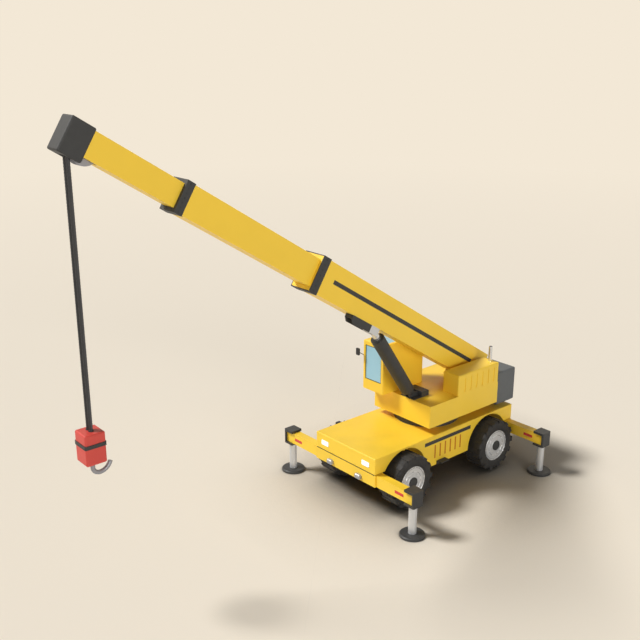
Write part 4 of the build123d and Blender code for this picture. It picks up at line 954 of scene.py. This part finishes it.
def collar_bolts():
    """A row of bolts down either side of both collars round the boom."""
    row_count, bolt_size = 7, 0.016
    for node in ("base_collar", "mid_collar"):
        s_low, s_high, n_low, n_high = boom_extent(node)
        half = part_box(node)[1].y
        s = (s_low + s_high) / 2
        bolts = []
        for side in sides:
            points = []
            for row in range(row_count):
                n = n_low + (n_high - n_low) * (row + 0.5) / row_count
                points.append(boom_dir * s + boom_up * n + Vector((0, side * half, 0)))
            bolts += bolt_rows(points, (0, side, 0), bolt_size)
        settle(join(bolts), f"{node}_bolts", nodes[node]["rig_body"],
               finishes["black_enamel"])


for name in corner_names:
    wheel_trim(name)
gaskets("cab_glass", "cab_gaskets")
gaskets("door_glass", "door_gasket")
driving_controls()
mirror_glass()
step_treads()
rope_sockets()
lamp_bezels()
hood_seal()
collar_bolts()


# ---------------------------------------------------------------- floor, light and camera
def floor():
    """A wide level floor, with shade painted into its colour where the crane closes it in, that fades into
    the backdrop far off.
    """
    floor_size = 3000
    shade_reach, shade_power = 3.8, 1.2
    fade_start, fade_end = 18, 75
    deselect()
    bpy.ops.mesh.primitive_plane_add(size=floor_size, location=(0, 0, 0))
    plane = bpy.context.object
    plane.name = "floor"
    material, tree, shader = new_material("floor_cream")
    path = add(tree, "ShaderNodeLightPath").outputs
    # Painted shade: ambient occlusion darkens the floor's own colour towards a dark tone near the crane.
    closeness = add(tree, "ShaderNodeAmbientOcclusion", (("Distance", shade_reach),), samples=16)
    openness = math(tree, "POWER", closeness.outputs["AO"], shade_power)
    near = mixed(tree, openness, painted_contact_shade, floor_tone)
    tree.links.new(mixed(tree, path["Is Camera Ray"], floor_bounce, near), shader.inputs["Base Color"])
    shader.inputs["Roughness"].default_value = 0.9
    shader.inputs["Specular IOR Level"].default_value = 0.05
    place = add(tree, "ShaderNodeNewGeometry").outputs["Position"]
    far = add(tree, "ShaderNodeVectorMath", ((0, place),), operation="LENGTH").outputs["Value"]
    haze = math(tree, "MULTIPLY", ranged(tree, far, 0, 1, fade_start, fade_end), path["Is Camera Ray"])
    glow = add(tree, "ShaderNodeEmission", (("Color", backdrop), ("Strength", 1.0)))
    blend = add(tree, "ShaderNodeMixShader", ((0, haze), (1, shader.outputs[0]), (2, glow.outputs[0])))
    output = next(node for node in tree.nodes if node.type == "OUTPUT_MATERIAL")
    tree.links.new(blend.outputs[0], output.inputs[0])
    plane.data.materials.append(material)


def soft_sun(name, direction, strength, angle):
    """A soft lamp shining from a direction, its angle in degrees."""
    lamp = bpy.data.lights.new(name, "SUN")
    lamp.energy = strength
    lamp.angle = radians(angle)
    piece = bpy.data.objects.new(name, lamp)
    piece.rotation_mode = "QUATERNION"
    piece.rotation_quaternion = (-Vector(direction)).to_track_quat("-Z", "Y")
    bpy.context.scene.collection.objects.link(piece)


def lighting():
    """A soft key lamp from ahead on the right, a low fill from the left, and a pale room."""
    room_strength = 0.12
    soft_sun("key", (0.473, -0.457, 0.753), 3.15, 15)
    soft_sun("fill", (0.25, 0.95, 0.03), 2.15, 40)
    world = bpy.data.worlds.new("studio")
    bpy.context.scene.world = world
    world.use_nodes = True
    tree = world.node_tree
    path = tree.nodes.new("ShaderNodeLightPath").outputs
    seen = math(tree, "MAXIMUM", path["Is Camera Ray"],
                math(tree, "MAXIMUM", path["Is Glossy Ray"], path["Is Transmission Ray"]))
    background = tree.nodes["Background"]
    tree.links.new(mixed(tree, seen, linear(242, 246, 252), backdrop), background.inputs[0])
    tree.links.new(ranged(tree, seen, room_strength, 1, 0, 1), background.inputs[1])


def camera():
    """The camera, ahead of the crane on its left and above it."""
    camera_data = bpy.data.cameras.new("camera")
    camera_data.lens = 50
    camera_data.sensor_width = 36
    camera_data.clip_end = 1000
    viewer = bpy.data.objects.new("camera", camera_data)
    viewer.location = (15.298, 17.7097, 13.4631)
    viewer.rotation_euler = (radians(72.248), 0, radians(139.308))
    bpy.context.scene.collection.objects.link(viewer)
    bpy.context.scene.camera = viewer


floor()
lighting()
camera()
bpy.context.scene.view_settings.view_transform = "Standard"
